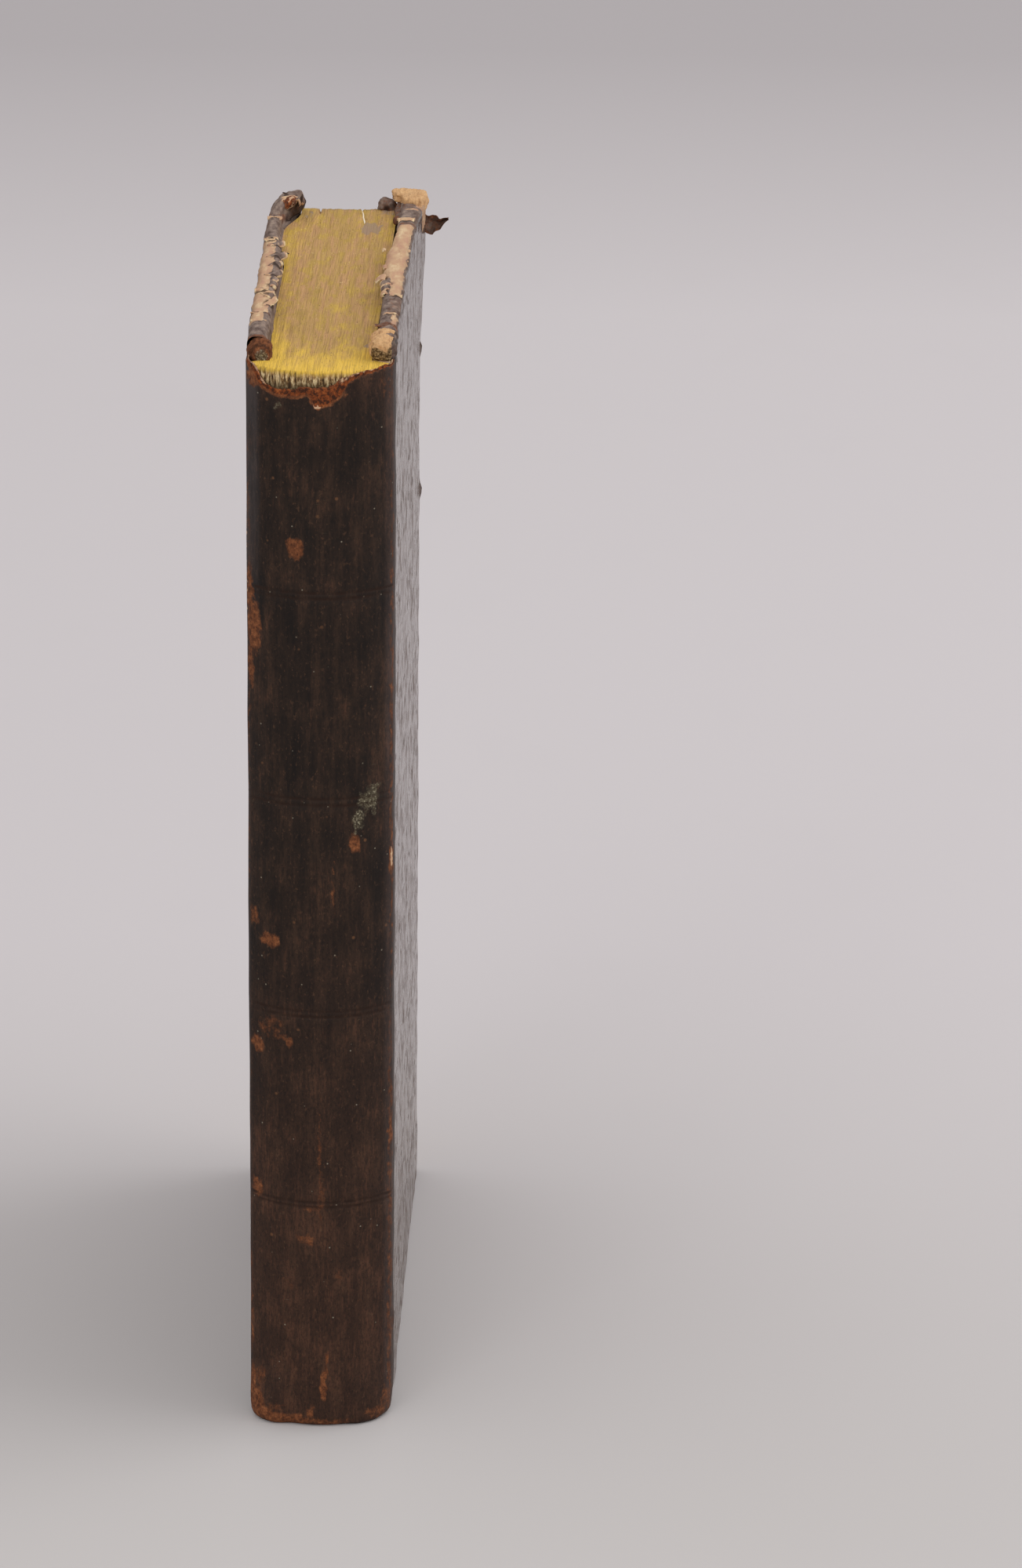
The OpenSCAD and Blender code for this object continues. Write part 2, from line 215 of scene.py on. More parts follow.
RUST_SPOTS = tuple(Spot(*row) for row in (
    (-4.0, 165, 1.7, 2.1, 1.0), (-12.2, 156.5, 0.8, 5.0, 0.85), (-11.4, 149.5, 1.4, 5.2, 0.9),
    (-12.1, 142, 0.8, 4.0, 0.8), (-12.4, 172, 0.35, 14, 0.5), (6.3, 111.2, 1.1, 1.9, 0.9),
    (-8.8, 92.5, 2.0, 1.4, 0.9), (-11.6, 96.5, 1.1, 2.4, 0.66), (-8.6, 76.2, 3.2, 2.6, 0.52),
    (-11.2, 72.5, 1.4, 2.0, 0.85), (-5.6, 74.0, 1.9, 0.9, 0.72), (-11.3, 44.8, 1.2, 2.0, 0.85),
    (-1.6, 42.6, 2.4, 0.7, 0.55), (-2.4, 36.5, 2.0, 1.1, 0.62), (3.6, 29.6, 1.1, 1.2, 0.5),
    (0.1, 54, 0.4, 9.0, 0.55), (0.4, 44, 0.8, 8.0, 0.45), (2.6, 103, 0.3, 6.0, 0.5),
    (-12.0, 5.4, 0.9, 5.0, 1.0), (-10.9, 3.4, 1.7, 3.4, 1.0), (-9.4, 1.4, 2.6, 1.5, 0.9),
    (-5.6, 0.9, 4.6, 1.6, 0.9), (0.7, 8.0, 0.75, 3.4, 0.95), (1.3, 12.4, 0.4, 3.0, 0.85),
    (0, 0.5, 5.0, 1.0, 0.75), (-10.6, 8.5, 1.4, 2.4, 0.6), (-7.4, 3.4, 1.6, 1.2, 0.55),
    (-1.6, 2.4, 0.8, 2.0, 0.75), (3.6, 0.8, 3.6, 0.8, 0.5), (9.8, 1.8, 2.2, 1.5, 0.62),
    (11.4, 4.0, 1.0, 3.2, 0.6), (12.3, 8.5, 0.5, 4.5, 0.62), (12.5, 107, 0.4, 3.2, 0.9),
    (12.4, 55, 0.5, 3.4, 0.8), (12.5, 130, 0.3, 60, 0.58), (12.4, 32, 0.5, 60, 0.55),
    (-12.6, 120, 0.3, 30, 0.5), (0.6, 191.5, 2.2, 1.5, 1.35), (7.3, 24.6, 0.9, 1.0, 0.44),
    (-5.5, 27.5, 1.7, 1.8, 0.42), (11.8, 193, 1.4, 3.4, 0.42), (-12.5, 22, 0.4, 14, 0.6),
    (-11.4, 194.2, 1.3, 1.8, 0.85), (4.2, 192.6, 1.2, 0.9, 0.6),
))
TAN_SPOTS = tuple(Spot(*row) for row in (
    (-0.2, 190.2, 0.8, 0.2, 1.0), (1.7, 191.2, 0.4, 0.16, 0.7), (2.6, 192.3, 0.3, 0.16, 0.6),
    (12.55, 107, 0.22, 2.6, 0.6), (-12.75, 160, 0.2, 30, 0.42), (-9.7, 193.8, 0.2, 0.5, 0.5),
    (-10.4, 194.9, 0.2, 0.5, 0.5),
))
CRUST_SPOTS = tuple(Spot(*row) for row in (
    (8.6, 118.8, 1.9, 1.9, 1.0), (6.9, 115.6, 1.3, 1.9, 0.8), (9.4, 121, 1.2, 0.9, 0.8),
    (6.4, 113.4, 0.5, 0.6, 0.9), (-7.2, 190.1, 0.9, 0.6, 0.62), (9.6, 116.4, 0.6, 1.4, 0.6),
))


def tear_height(tear: Curve, x: float, seed: int) -> float:
    """Height of a torn edge at a place across the spine, with fine raggedness."""
    ragged = 0.22 * wobble(x / 0.55, 0.0, 0.0, seed) + 0.12 * wobble(x / 0.2, 0.0, 0.0, seed + 1)
    return along(tear, x) + ragged


def skin_relief(x: float, y: float, z: float) -> float:
    """How far the covering leather stands out at a place in the book's frame, in millimetres."""
    relief = 0.13 * wobble(x / 16, y / 20, z / 19, 3) + 0.05 * wobble(x / 4, y / 5, z / 7, 5)
    relief += 0.02 * wobble(x / 1.1, y / 2.2, z / 6, 7)
    for line in BLIND_LINES:
        if abs(z - line) < 0.8 and y < PLAN.shoulder_y:
            relief -= 0.1 * ease(0.5, 0.1, abs(z - line))
    corner = ease(8.8, 12.8, abs(x)) * ease(13, 5, y)
    if z < 4.4 and corner > 0:
        drop = min(1.0, 1.0 - z / 4.4)
        relief -= corner * (0.9 if x > 0 else 0.6) * (1.0 - math.sqrt(1.0 - drop * drop))
    low = ease(13, 3, z)
    relief += 1.45 * low * ease(1.3, 0.25, abs(x + 9.4) / 3.6) * ease(1.6, -1.2, y)
    relief += 0.7 * low * ease(1.3, 0.25, abs(x - 8.6) / 3.6) * ease(1.6, -1.2, y)
    if y < 2.6:
        crust = max(spot.at(x, z) for spot in CRUST_SPOTS)
        if crust > 0:
            relief += crust * (0.16 + 0.3 * abs(wobble(x / 0.9, y / 0.9, z / 0.9, 9)))
    if x > 11:
        relief += 0.4 * ease(1.9, 0.3, math.hypot(y - 2.2, (z - 18) / 2.0))
    return relief


def skin_masks(x: float, y: float, z: float, least: Masks) -> Masks:
    """Wear of the leather, with its painted sheen and painted shade, at a place on the spine or at
    the joints, or the least given.
    """
    spine = ease(5.5, 1.0, y)
    near_x = x + 0.5 * wobble(x / 1.3, 0, z / 1.5, 17) + 0.25 * wobble(x / 0.5, 0, z / 0.5, 18)
    near_z = z + 0.6 * wobble(x / 1.3, 4, z / 1.5, 19) + 0.3 * wobble(x / 0.5, 4, z / 0.5, 20)
    rust = max(spot.at(near_x, near_z) for spot in RUST_SPOTS) * spine
    below = tear_height(GRAIN_TEAR, x, 11) - z
    torn = (1.1 if x < 4.0 else 0.55) * ease(0.9, 0.1, below) if abs(x) < 12.5 else 0.4
    limb = ease(11.4, 12.7, abs(x)) * (0.26 + 0.14 * wobble(0, 0, z / 9, 12))
    groove = max(ease(0.4, 0.12, abs(z - line)) for line in BLIND_LINES)
    right = ease(10.9, 12.1, x) * ease(4.5, 2.0, y)
    left = ease(9.9, 11.2, -x) * ease(0.8, -0.6, y)
    sheen_strength = 0.8 + 0.3 * wobble(0, 0, z / 20, 24)
    skin = {
        "rust": max(rust, torn if below < 2 else 0.0, limb * spine),
        "tan": max(spot.at(x, z) for spot in TAN_SPOTS) * spine,
        "crust": max(spot.at(near_x, near_z) for spot in CRUST_SPOTS) * spine,
        "warm": max(0.4 * right, 0.62 * ease(120, 10, z), 0.4 * ease(188, 196, z)),
        # Painted sheen along both limbs of the spine
        "sheen": sheen_strength * max(left * ease(146, 172, z), 0.5 * right),
        # Painted shade along the grooves of the pressed lines
        "hollow": 0.9 * groove * max(0.0, 0.7 + wobble(x / 1.6, 0, z, 23)) * spine,
    }
    return {key: max(worn, least.get(key, 0.0)) for key, worn in skin.items()}


def add_object(name: str, data: bpy.types.ID) -> Object:
    """Adds a new object to the scene."""
    made = bpy.data.objects.new(name, data)
    bpy.context.scene.collection.objects.link(made)
    return made


class Draft:
    """Points, faces and painted masks of one mesh, drawn in the book's frame in millimetres."""

    def __init__(self, name: str) -> None:
        """Starts an empty mesh under the name that the piece will have."""
        self.name = name
        self.points: list[Point] = []
        self.masks: list[Masks] = []
        self.faces: list[tuple[int, ...]] = []
        self.slots: list[int] = []

    def point(self, x: float, y: float, z: float, masks: Masks | None = None) -> int:
        """Adds a point and returns its number."""
        self.points.append((x, y, z))
        self.masks.append(masks or {})
        return len(self.points) - 1

    def face(self, corners: Sequence[int], slot: int = 0, flip: bool = False) -> None:
        """Adds a face, left out where two of its corners are one."""
        ring = list(dict.fromkeys(corners))
        if len(ring) > 2:
            self.faces.append(tuple(reversed(ring)) if flip else tuple(ring))
            self.slots.append(slot)

    def sheet(self, rows: Sequence[Sequence[int]], slot: int = 0,
              flip: bool = False, wrap: bool = False) -> None:
        """Spans faces between rows of points.

        Args:
            rows: Rows of equally many point numbers.
            slot: Material slot of the faces.
            flip: Turns the faces' normals round.
            wrap: Joins the end of each row to its start.
        """
        for lower, upper in zip(rows, rows[1:]):
            count = len(lower)
            for i in range(count if wrap else count - 1):
                j = (i + 1) % count
                self.face((lower[i], lower[j], upper[j], upper[i]), slot, flip)

    def build(self, *finishes: Material) -> Object:
        """Makes the Blender object, shaded smooth and linked to the scene.

        Args:
            finishes: The materials, in the order of the slots.

        Returns:
            The new object.
        """
        mesh = bpy.data.meshes.new(self.name)
        mesh.from_pydata([PLAN.to_model(*p) for p in self.points], [], self.faces)
        for material in finishes:
            mesh.materials.append(material)
        mesh.polygons.foreach_set("material_index", self.slots)
        mesh.polygons.foreach_set("use_smooth", [True] * len(self.faces))
        for key in sorted({name for masks in self.masks for name in masks}):
            layer = mesh.attributes.new(key, "FLOAT", "POINT")
            layer.data.foreach_set("value", [masks.get(key, 0.0) for masks in self.masks])
        mesh.update()
        return add_object(self.name, mesh)


Place = Callable[[Vector, Vector], tuple[Point, Masks]]


@dataclass
class RoundedBox:
    """A box with rounded edges, drawn on a lattice that may be finer in places."""

    axes: tuple[list[float], list[float], list[float]]
    radius: float
    sharp_near: bool = False

    def draw(self, draft: Draft, place: Place,
             keep: Callable[[int, int, Vector], bool] | None = None,
             slot: int = 0, flip: bool = False) -> None:
        """Adds the box's surface to a mesh.

        Args:
            draft: The mesh.
            place: Turns a point and its normal in the box's frame into a book place and masks.
            keep: Says of a face's axis, side and middle whether it is drawn.
            slot: Material slot of the faces.
            flip: Turns the normals round, for a mirrored place.
        """
        low = [axis[0] + self.radius for axis in self.axes]
        high = [axis[-1] - self.radius for axis in self.axes]
        if self.sharp_near:
            low[1] = self.axes[1][0]
        numbers: dict[tuple[int, int, int], int] = {}

        def number(key: tuple[int, int, int]) -> int:
            """The mesh point at a lattice key."""
            if key not in numbers:
                at = Vector([self.axes[a][key[a]] for a in range(3)])
                core = Vector([min(max(at[a], low[a]), high[a]) for a in range(3)])
                way = at - core
                rounded = way.length > 1e-6
                normal = way.normalized() if rounded else Vector((0, -1, 0))
                spot, masks = place(core + normal * self.radius if rounded else at, normal)
                numbers[key] = draft.point(*spot, masks)
            return numbers[key]

        for a in range(3):
            b, c = (a + 1) % 3, (a + 2) % 3
            for side in (0, 1):
                at_a = (len(self.axes[a]) - 1) * side
                for i in range(len(self.axes[b]) - 1):
                    for j in range(len(self.axes[c]) - 1):
                        middle = Vector((0, 0, 0))
                        middle[a] = self.axes[a][at_a]
                        middle[b] = (self.axes[b][i] + self.axes[b][i + 1]) / 2
                        middle[c] = (self.axes[c][j] + self.axes[c][j + 1]) / 2
                        if keep and not keep(a, side, middle):
                            continue
                        corners = []
                        for di, dj in ((0, 0), (1, 0), (1, 1), (0, 1)):
                            key = [0, 0, 0]
                            key[a], key[b], key[c] = at_a, i + di, j + dj
                            corners.append(number((key[0], key[1], key[2])))
                        draft.face(corners, slot, flip != (side == 0))


def rounded_axis(low: float, high: float, radius: float, step: float, extra: Iterable[float] = (),
                 round_low: bool = True) -> list[float]:
    """Lattice values that give even steps round the rounded ends.

    Args:
        low: Lowest value.
        high: Highest value.
        radius: Radius of the rounded edges.
        step: Largest step between the ends.
        extra: Further values between the ends.
        round_low: Whether the low end is rounded.

    Returns:
        The values in rising order.
    """
    bends = [radius * (1 - math.tan(math.radians(angle))) for angle in BEND_ANGLES]
    inner_low = low + radius if round_low else low
    values = [low + b for b in bends] if round_low else []
    values += ends_and_steps(inner_low, high - radius, step)
    values += [high - b for b in reversed(bends)]
    values += [v for v in extra if inner_low < v < high - radius]
    values.sort()
    return [v for k, v in enumerate(values) if k == 0 or v - values[k - 1] > 0.04]


class Value:
    """A number in a material's node tree; operators add Math nodes."""

    def __init__(self, finish: Finish, socket: Socket) -> None:
        """Wraps an output socket of a finish's tree."""
        self.finish = finish
        self.socket = socket

    def _math(self, operation: str, *inputs: Value | float) -> Value:
        """Adds a Math node."""
        return self.finish.math(operation, *inputs)

    def __add__(self, other: Value | float) -> Value:
        """Sum."""
        return self._math("ADD", self, other)

    __radd__ = __add__

    def __sub__(self, other: Value | float) -> Value:
        """Difference."""
        return self._math("SUBTRACT", self, other)

    def __rsub__(self, other: Value | float) -> Value:
        """Difference from a number."""
        return self._math("SUBTRACT", other, self)

    def __mul__(self, other: Value | float) -> Value:
        """Product."""
        return self._math("MULTIPLY", self, other)

    __rmul__ = __mul__

    def largest(self, other: Value | float) -> Value:
        """The larger of two numbers."""
        return self._math("MAXIMUM", self, other)

    def step(self, low: float, high: float) -> Value:
        """A soft step from 0 at low to 1 at high."""
        settings = {"interpolation_type": "SMOOTHSTEP"}
        inputs = {"Value": self, "From Min": low, "From Max": high, "To Min": 0.0, "To Max": 1.0}
        node = self.finish.node("ShaderNodeMapRange", settings, inputs)
        return Value(self.finish, node.outputs["Result"])


Shade = tuple[float, float, float, float]


def shade(red: int, green: int, blue: int) -> Shade:
    """A colour as the eye reads it, from 0 to 255, in the linear form that sockets take."""
    def linear(channel: int) -> float:
        """One channel."""
        share = channel / 255
        return share / 12.92 if share <= 0.04045 else ((share + 0.055) / 1.055) ** 2.4

    return (linear(red), linear(green), linear(blue), 1.0)


class Finish:
    """One material: its node tree, with short ways to the nodes that the finishes share."""

    def __init__(self, name: str) -> None:
        """Makes a new material with a Principled shader."""
        self.material = bpy.data.materials.new(name)
        self.material.use_nodes = True
        self.tree = self.material.node_tree
        self.shader = self.tree.nodes["Principled BSDF"]
        self.place = self.node("ShaderNodeTexCoord").outputs["Object"]

    def node(self, kind: str, settings: dict[str, object] | None = None,
             inputs: dict[str | int, object] | None = None) -> bpy.types.Node:
        """Adds a node.

        Args:
            kind: The node's type name.
            settings: Attributes of the node, set before its sockets; "stops" fills a ramp.
            inputs: Values or links for its input sockets, by name or number.

        Returns:
            The node.
        """
        node = self.tree.nodes.new(kind)
        for key, value in (settings or {}).items():
            if key == "stops":
                ramp = node.color_ramp
                for k, (at, tint) in enumerate(value):
                    stop = ramp.elements[k] if k < 2 else ramp.elements.new(at)
                    stop.position, stop.color = at, tint
            else:
                setattr(node, key, value)
        for key, value in (inputs or {}).items():
            self.feed(node.inputs[key], value)
        return node

    def feed(self, socket: Socket, value: object) -> None:
        """Links an output to a socket, or sets the socket's own value."""
        source = value.socket if isinstance(value, Value) else value
        if isinstance(source, Socket):
            self.tree.links.new(source, socket)
        else:
            socket.default_value = source

    def math(self, operation: str, *inputs: Value | float) -> Value:
        """Adds a Math node on numbers."""
        node = self.node("ShaderNodeMath", {"operation": operation}, dict(enumerate(inputs)))
        return Value(self, node.outputs[0])

    def mask(self, name: str) -> Value:
        """A mask that was painted on the mesh."""
        node = self.node("ShaderNodeAttribute", {"attribute_name": name})
        return Value(self, node.outputs["Fac"])

    def stretched(self, x: float, y: float, z: float) -> Socket:
        """The place in millimetres, divided by a length along each axis."""
        factors = (1000 / x, 1000 / y, 1000 / z)
        node = self.node("ShaderNodeVectorMath", {"operation": "MULTIPLY"},
                         {0: self.place, 1: factors})
        return node.outputs["Vector"]

    def grain(self, size: Point, detail: float = 3.0, roughness: float = 0.55,
              shift: float = 0.0) -> Value:
        """Noise from 0 to 1 whose grains have a size in millimetres along X, Y and Z."""
        place = self.stretched(*size)
        if shift:
            moved = {0: place, 1: (shift, shift * 0.7, -shift)}
            place = self.node("ShaderNodeVectorMath", {"operation": "ADD"}, moved).outputs["Vector"]
        inputs = {"Vector": place, "Scale": 1.0, "Detail": detail, "Roughness": roughness}
        return Value(self, self.node("ShaderNodeTexNoise", None, inputs).outputs["Fac"])

    def flecks(self, size: float, reach: float, shift: float = 0.0) -> Value:
        """Small round flecks, 1 in their middles, at most one in a cell of a size in mm."""
        place = self.stretched(size, size, size)
        moved = {0: place, 1: (shift, shift, shift)}
        place = self.node("ShaderNodeVectorMath", {"operation": "ADD"}, moved).outputs["Vector"]
        cells = self.node("ShaderNodeTexVoronoi", {"feature": "F1"},
                          {"Vector": place, "Scale": 1.0})
        return Value(self, cells.outputs["Distance"]).step(reach, reach * 0.35)

    def blend(self, share: Value | float, low: object, high: object) -> Socket:
        """Mixes two colours by a share."""
        settings = {"data_type": "RGBA", "blend_type": "MIX", "clamp_factor": True}
        return self.node("ShaderNodeMix", settings, {0: share, 6: low, 7: high}).outputs[2]

    def layers(self, colour: Socket, *coats: tuple[Value, object]) -> Socket:
        """Lays tints over a colour, one after another, each by its share."""
        for share, tint in coats:
            colour = self.blend(share, colour, tint)
        return colour

    def ramp(self, value: Value, *stops: tuple[float, Shade]) -> Socket:
        """Turns a number into a colour."""
        return self.node("ShaderNodeValToRGB", {"stops": stops}, {0: value}).outputs["Color"]

    def relief(self, height: Value, depth: float) -> None:
        """Feeds a bump of a depth in millimetres to the shader."""
        inputs = {"Height": height, "Distance": depth * MM, "Strength": 1.0}
        bump = self.node("ShaderNodeBump", None, inputs)
        self.feed(self.shader.inputs["Normal"], bump.outputs["Normal"])

    def dress(self, colour: object, roughness: Value | float, specular: float = 0.5) -> Material:
        """Feeds the shader's main sockets and returns the material."""
        self.feed(self.shader.inputs["Base Color"], colour)
        self.feed(self.shader.inputs["Roughness"], roughness)
        self.shader.inputs["Specular IOR Level"].default_value = specular
        return self.material


@dataclass(frozen=True)
class Leather:
    """Dark calf with worn grain: rust-coloured flesh, tan fibres and old crust show through."""

    dark: Shade = shade(25, 18, 15)
    middle: Shade = shade(38, 27, 21)
    brown: Shade = shade(58, 41, 31)
    rust: Shade = shade(103, 61, 38)
    rust_dark: Shade = shade(72, 43, 29)
    rust_light: Shade = shade(130, 80, 50)
    orange: Shade = shade(122, 62, 31)
    orange_dark: Shade = shade(58, 34, 23)
    tan: Shade = shade(190, 154, 122)
    pink: Shade = shade(181, 141, 116)
    cream: Shade = shade(222, 202, 162)
    crust: Shade = shade(112, 104, 84)
    # Colour of the painted shade under flakes, in rolled ends and along grooves
    hollow: Shade = shade(38, 22, 14)

    def make(self) -> Material:
        """Builds the material."""
        f = Finish("worn_calf")
        streak = f.grain((1.5, 3.2, 15), 5, 0.66)
        fine = f.grain((0.4, 0.6, 0.8), 4, 0.65, 9)
        ragged = f.grain((1.0, 1.0, 1.3), 5, 0.7, 21)
        colour, worn = self.wear(f, self.grain_side(f, streak, fine), ragged)
        pores = f.grain((1.4, 4.6, 4.4), 5, 0.72, 84)
        dashes = f.grain((1.0, 4.4, 2.4), 4, 0.68, 95).step(0.55, 0.63)
        # Lighter brown painted on the polished outer faces, as painted sheen
        face_sheen_paint = f.mask("polish") * (1 - worn * 0.6) * (1 - dashes * 0.25)
        colour = f.blend(face_sheen_paint * 0.78, colour, shade(80, 56, 40))
        smooth = f.mask("polish") * (1 - worn)
        self.gloss(f, smooth * pores.step(0.3, 0.56) * (1 - dashes * 0.9))
        roughness = 0.56 + streak * 0.12 + worn * 0.26 - smooth * 0.2
        height = streak * 0.4 + fine * 0.4 + (ragged * 0.6 - 0.35) * worn - pores * smooth * 1.1
        f.relief(height, 0.16)
        return f.dress(colour, roughness, 0.16)

    def grain_side(self, f: Finish, streak: Value, fine: Value) -> Socket:
        """Colours the whole grain of the skin, with its fibres, scratches and specks, and the
        painted sheen on the spine's limbs.
        """
        blotch = f.grain((5, 7, 9), 4, 0.62, 4)
        colour = f.ramp(
            streak * 0.55 + blotch * 0.45,
            (0.38, self.dark), (0.5, self.middle), (0.64, self.brown))
        fibres = f.grain((0.5, 1.6, 3.4), 5, 0.7, 15)
        warm = (fibres - 0.5) * 2.2 + (blotch - 0.5) * 1.4 + f.mask("warm") * 0.5
        grains = f.grain((0.55, 0.7, 0.9), 4, 0.68, 16).step(0.56, 0.7)
        scratches = f.grain((3.0, 2.0, 0.16), 3, 0.6, 18).step(0.66, 0.78) * blotch.step(0.46, 0.6)
        specks = f.flecks(2.6, 0.075) * f.grain((6, 6, 6), 2, 0.5, 2).step(0.4, 0.5)
        dots = f.flecks(4.2, 0.1, 5.3) * f.grain((9, 9, 9), 2, 0.5, 6).step(0.46, 0.54)
        # Painted sheen on the spine's limbs
        limb_sheen = f.mask("sheen") * (0.5 + streak.step(0.35, 0.6) * 0.5)
        return f.layers(
            colour,
            (warm.step(0.15, 0.85) * 0.55, shade(92, 60, 44)),
            (f.mask("warm") * 0.4, shade(86, 56, 41)),
            ((1 - fine.step(0.34, 0.56)) * 0.45, shade(16, 12, 12)),
            (grains * 0.35, shade(96, 68, 50)),
            (scratches * 0.3, self.crust),
            (specks * 0.8, shade(136, 128, 112)),
            (dots * 0.6, shade(112, 76, 50)),
            (limb_sheen * 0.42, shade(84, 80, 82)),
        )

    def wear(self, f: Finish, colour: Socket, ragged: Value) -> tuple[Socket, Value]:
        """Lays the wear over the grain: dust, rusty flesh, tan fibres, crusts, and painted shade in
        hollows.

        Args:
            f: The finish.
            colour: Colour of the whole grain.
            ragged: Grain that the edges of the rusty places follow.

        Returns:
            The colour, and how worn the skin is.
        """
        mottle = f.grain((1.6, 3.4, 1.6), 5, 0.66, 26)
        dust = (f.mask("dust") + (mottle - 0.5) * 0.9).step(0.2, 0.85)
        dust_tint = f.ramp(
            f.grain((1.1, 2.6, 1.1), 5, 0.62, 28),
            (0.34, shade(88, 70, 63)), (0.5, shade(124, 106, 97)), (0.68, shade(156, 136, 122)))
        rust = (f.mask("rust") + (ragged - 0.5) * 1.4).step(0.32, 0.9)
        tone = f.grain((0.8, 0.9, 0.9), 6, 0.72, 30)
        rust_tint = f.ramp(
            tone,
            (0.37, self.rust_dark), (0.49, self.rust), (0.6, self.rust_light),
            (0.7, shade(156, 100, 64)))
        orange_tint = f.ramp(
            tone, (0.43, self.orange_dark), (0.54, self.orange), (0.7, shade(168, 96, 48)))
        rust_tint = f.blend((f.mask("rust") - 1.0).step(0.02, 0.3), rust_tint, orange_tint)
        tan = (f.mask("tan") + (f.grain((0.8, 1.8, 0.8), 4, 0.62, 41) - 0.5) * 0.7).step(0.4, 0.56)
        tan_tint = f.ramp(
            f.grain((1.3, 5.0, 1.3), 5, 0.62, 50),
            (0.36, self.pink), (0.52, self.tan), (0.84, self.cream))
        pits = f.grain((0.5, 1.6, 0.5), 4, 0.7, 56).step(0.6, 0.72)
        tan_tint = f.blend(pits * 0.45, tan_tint, shade(140, 100, 74))
        crumbs = f.grain((0.9, 0.9, 0.9), 5, 0.7, 61)
        crust = (f.mask("crust") + (crumbs - 0.5) * 1.5).step(0.32, 1.0)
        crust_tint = f.ramp(
            f.grain((0.35, 0.35, 0.35), 3, 0.6, 71),
            (0.4, shade(64, 56, 44)), (0.58, self.crust), (0.72, shade(190, 182, 156)))
        colour = f.layers(
            colour,
            (dust * 0.92, dust_tint),
            (rust * 0.95, rust_tint),
            (tan, tan_tint),
            ((f.mask("tan") - 1.0).step(0.1, 0.5), self.cream),
            (crust * 0.85, crust_tint),
            # Painted shade where the mask marks shadowed places
            (f.mask("hollow"), self.hollow),
        )
        return colour, rust.largest(tan).largest(crust).largest(dust)

    def gloss(self, f: Finish, share: Value) -> None:
        """Adds the handled gloss of the boards' outer faces as a soft coat."""
        f.feed(f.shader.inputs["Coat Weight"], share * 0.76)
        f.shader.inputs["Coat Roughness"].default_value = 0.14
        f.shader.inputs["Coat IOR"].default_value = 1.55


@dataclass(frozen=True)
class LeafEdges:
    """Edges of some hundreds of leaves, stained yellow and rubbed."""

    yellow: Shade = shade(224, 184, 74)
    tan: Shade = shade(182, 146, 85)
    pink: Shade = shade(188, 145, 99)
    olive: Shade = shade(178, 147, 66)
    dark: Shade = shade(112, 82, 46)

    def make(self) -> Material:
        """Builds the material."""
        f = Finish("leaf_edges")
        leaf = f.grain((0.16, 9, 9), 4, 0.62)
        bundle = f.grain((0.8, 26, 30), 4, 0.62, 5)
        cloud = f.grain((2.2, 7, 7), 4, 0.64, 11)
        stain = (f.mask("stain") + (cloud - 0.5) * 1.3).step(0.1, 0.95)
        ticks = f.grain((0.24, 1.5, 1.6), 4, 0.66, 23).step(0.6, 0.72)
        glints = f.grain((0.26, 1.3, 1.3), 3, 0.64, 33).step(0.6, 0.72)
        grit = f.flecks(3.1, 0.08, 2.2) * f.grain((7, 12, 7), 2, 0.5, 36).step(0.48, 0.56)
        smear = f.grain((1.0, 2.2, 2.2), 4, 0.65, 43)
        smudge = (f.mask("smudge") + (smear - 0.5) * 1.5).step(0.42, 0.66)
        folds = f.mask("fold")
        threads = f.grain((0.34, 0.4, 1.1), 4, 0.7, 53)
        paper = f.ramp(
            threads,
            (0.37, shade(56, 38, 22)), (0.49, shade(146, 112, 70)), (0.6, shade(222, 198, 152)))
        colour = f.layers(
            f.blend(bundle.step(0.4, 0.62), self.tan, self.pink),
            (cloud.step(0.45, 0.62) * 0.7, self.olive),
            (stain, self.yellow),
            ((1 - leaf.step(0.3, 0.62)) * 0.5, self.dark),
            (ticks * 0.75, shade(86, 60, 32)),
            (glints * 0.5, shade(222, 194, 132)),
            (grit * 0.8, shade(96, 66, 36)),
            (smudge * 0.7, shade(144, 122, 110)),
            (folds, paper),
            # Painted shade in the gaps between gatherings and below the torn leather
            (f.mask("gap"), shade(46, 35, 22)),
        )
        f.relief(leaf * 0.6 + bundle * 0.4 + ticks * 0.3 + threads * folds, 0.12)
        return f.dress(colour, 0.8 + (leaf - 0.5) * 0.1, 0.2)


@dataclass(frozen=True)
class OldPaper:
    """Aged laid paper with foxing, for the outer leaves and the pastedowns."""

    name: str = "old_paper"
    light: Shade = shade(216, 202, 168)
    dull: Shade = shade(192, 174, 134)

    def make(self) -> Material:
        """Builds the material."""
        f = Finish(self.name)
        cloud = f.grain((22, 24, 24), 4, 0.6)
        fibre = f.grain((0.8, 0.5, 0.8), 4, 0.6, 3)
        laid = f.grain((6, 60, 0.9), 2, 0.5, 6)
        colour = f.ramp(cloud, (0.35, self.dull), (0.62, self.light))
        colour = f.blend((fibre.step(0.4, 0.7)) * 0.25, colour, shade(168, 148, 110))
        foxing = f.flecks(7, 0.2, 1.3) * f.grain((14, 14, 14), 2, 0.5, 8).step(0.46, 0.56)
        colour = f.blend(foxing * 0.5, colour, shade(150, 108, 66))
        rim = f.grain((30, 9, 9), 4, 0.6, 13).step(0.56, 0.72)
        colour = f.blend(rim * 0.35, colour, shade(140, 118, 84))
        f.relief(laid * 0.5 + fibre * 0.5, 0.05)
        return f.dress(colour, 0.85, 0.25)


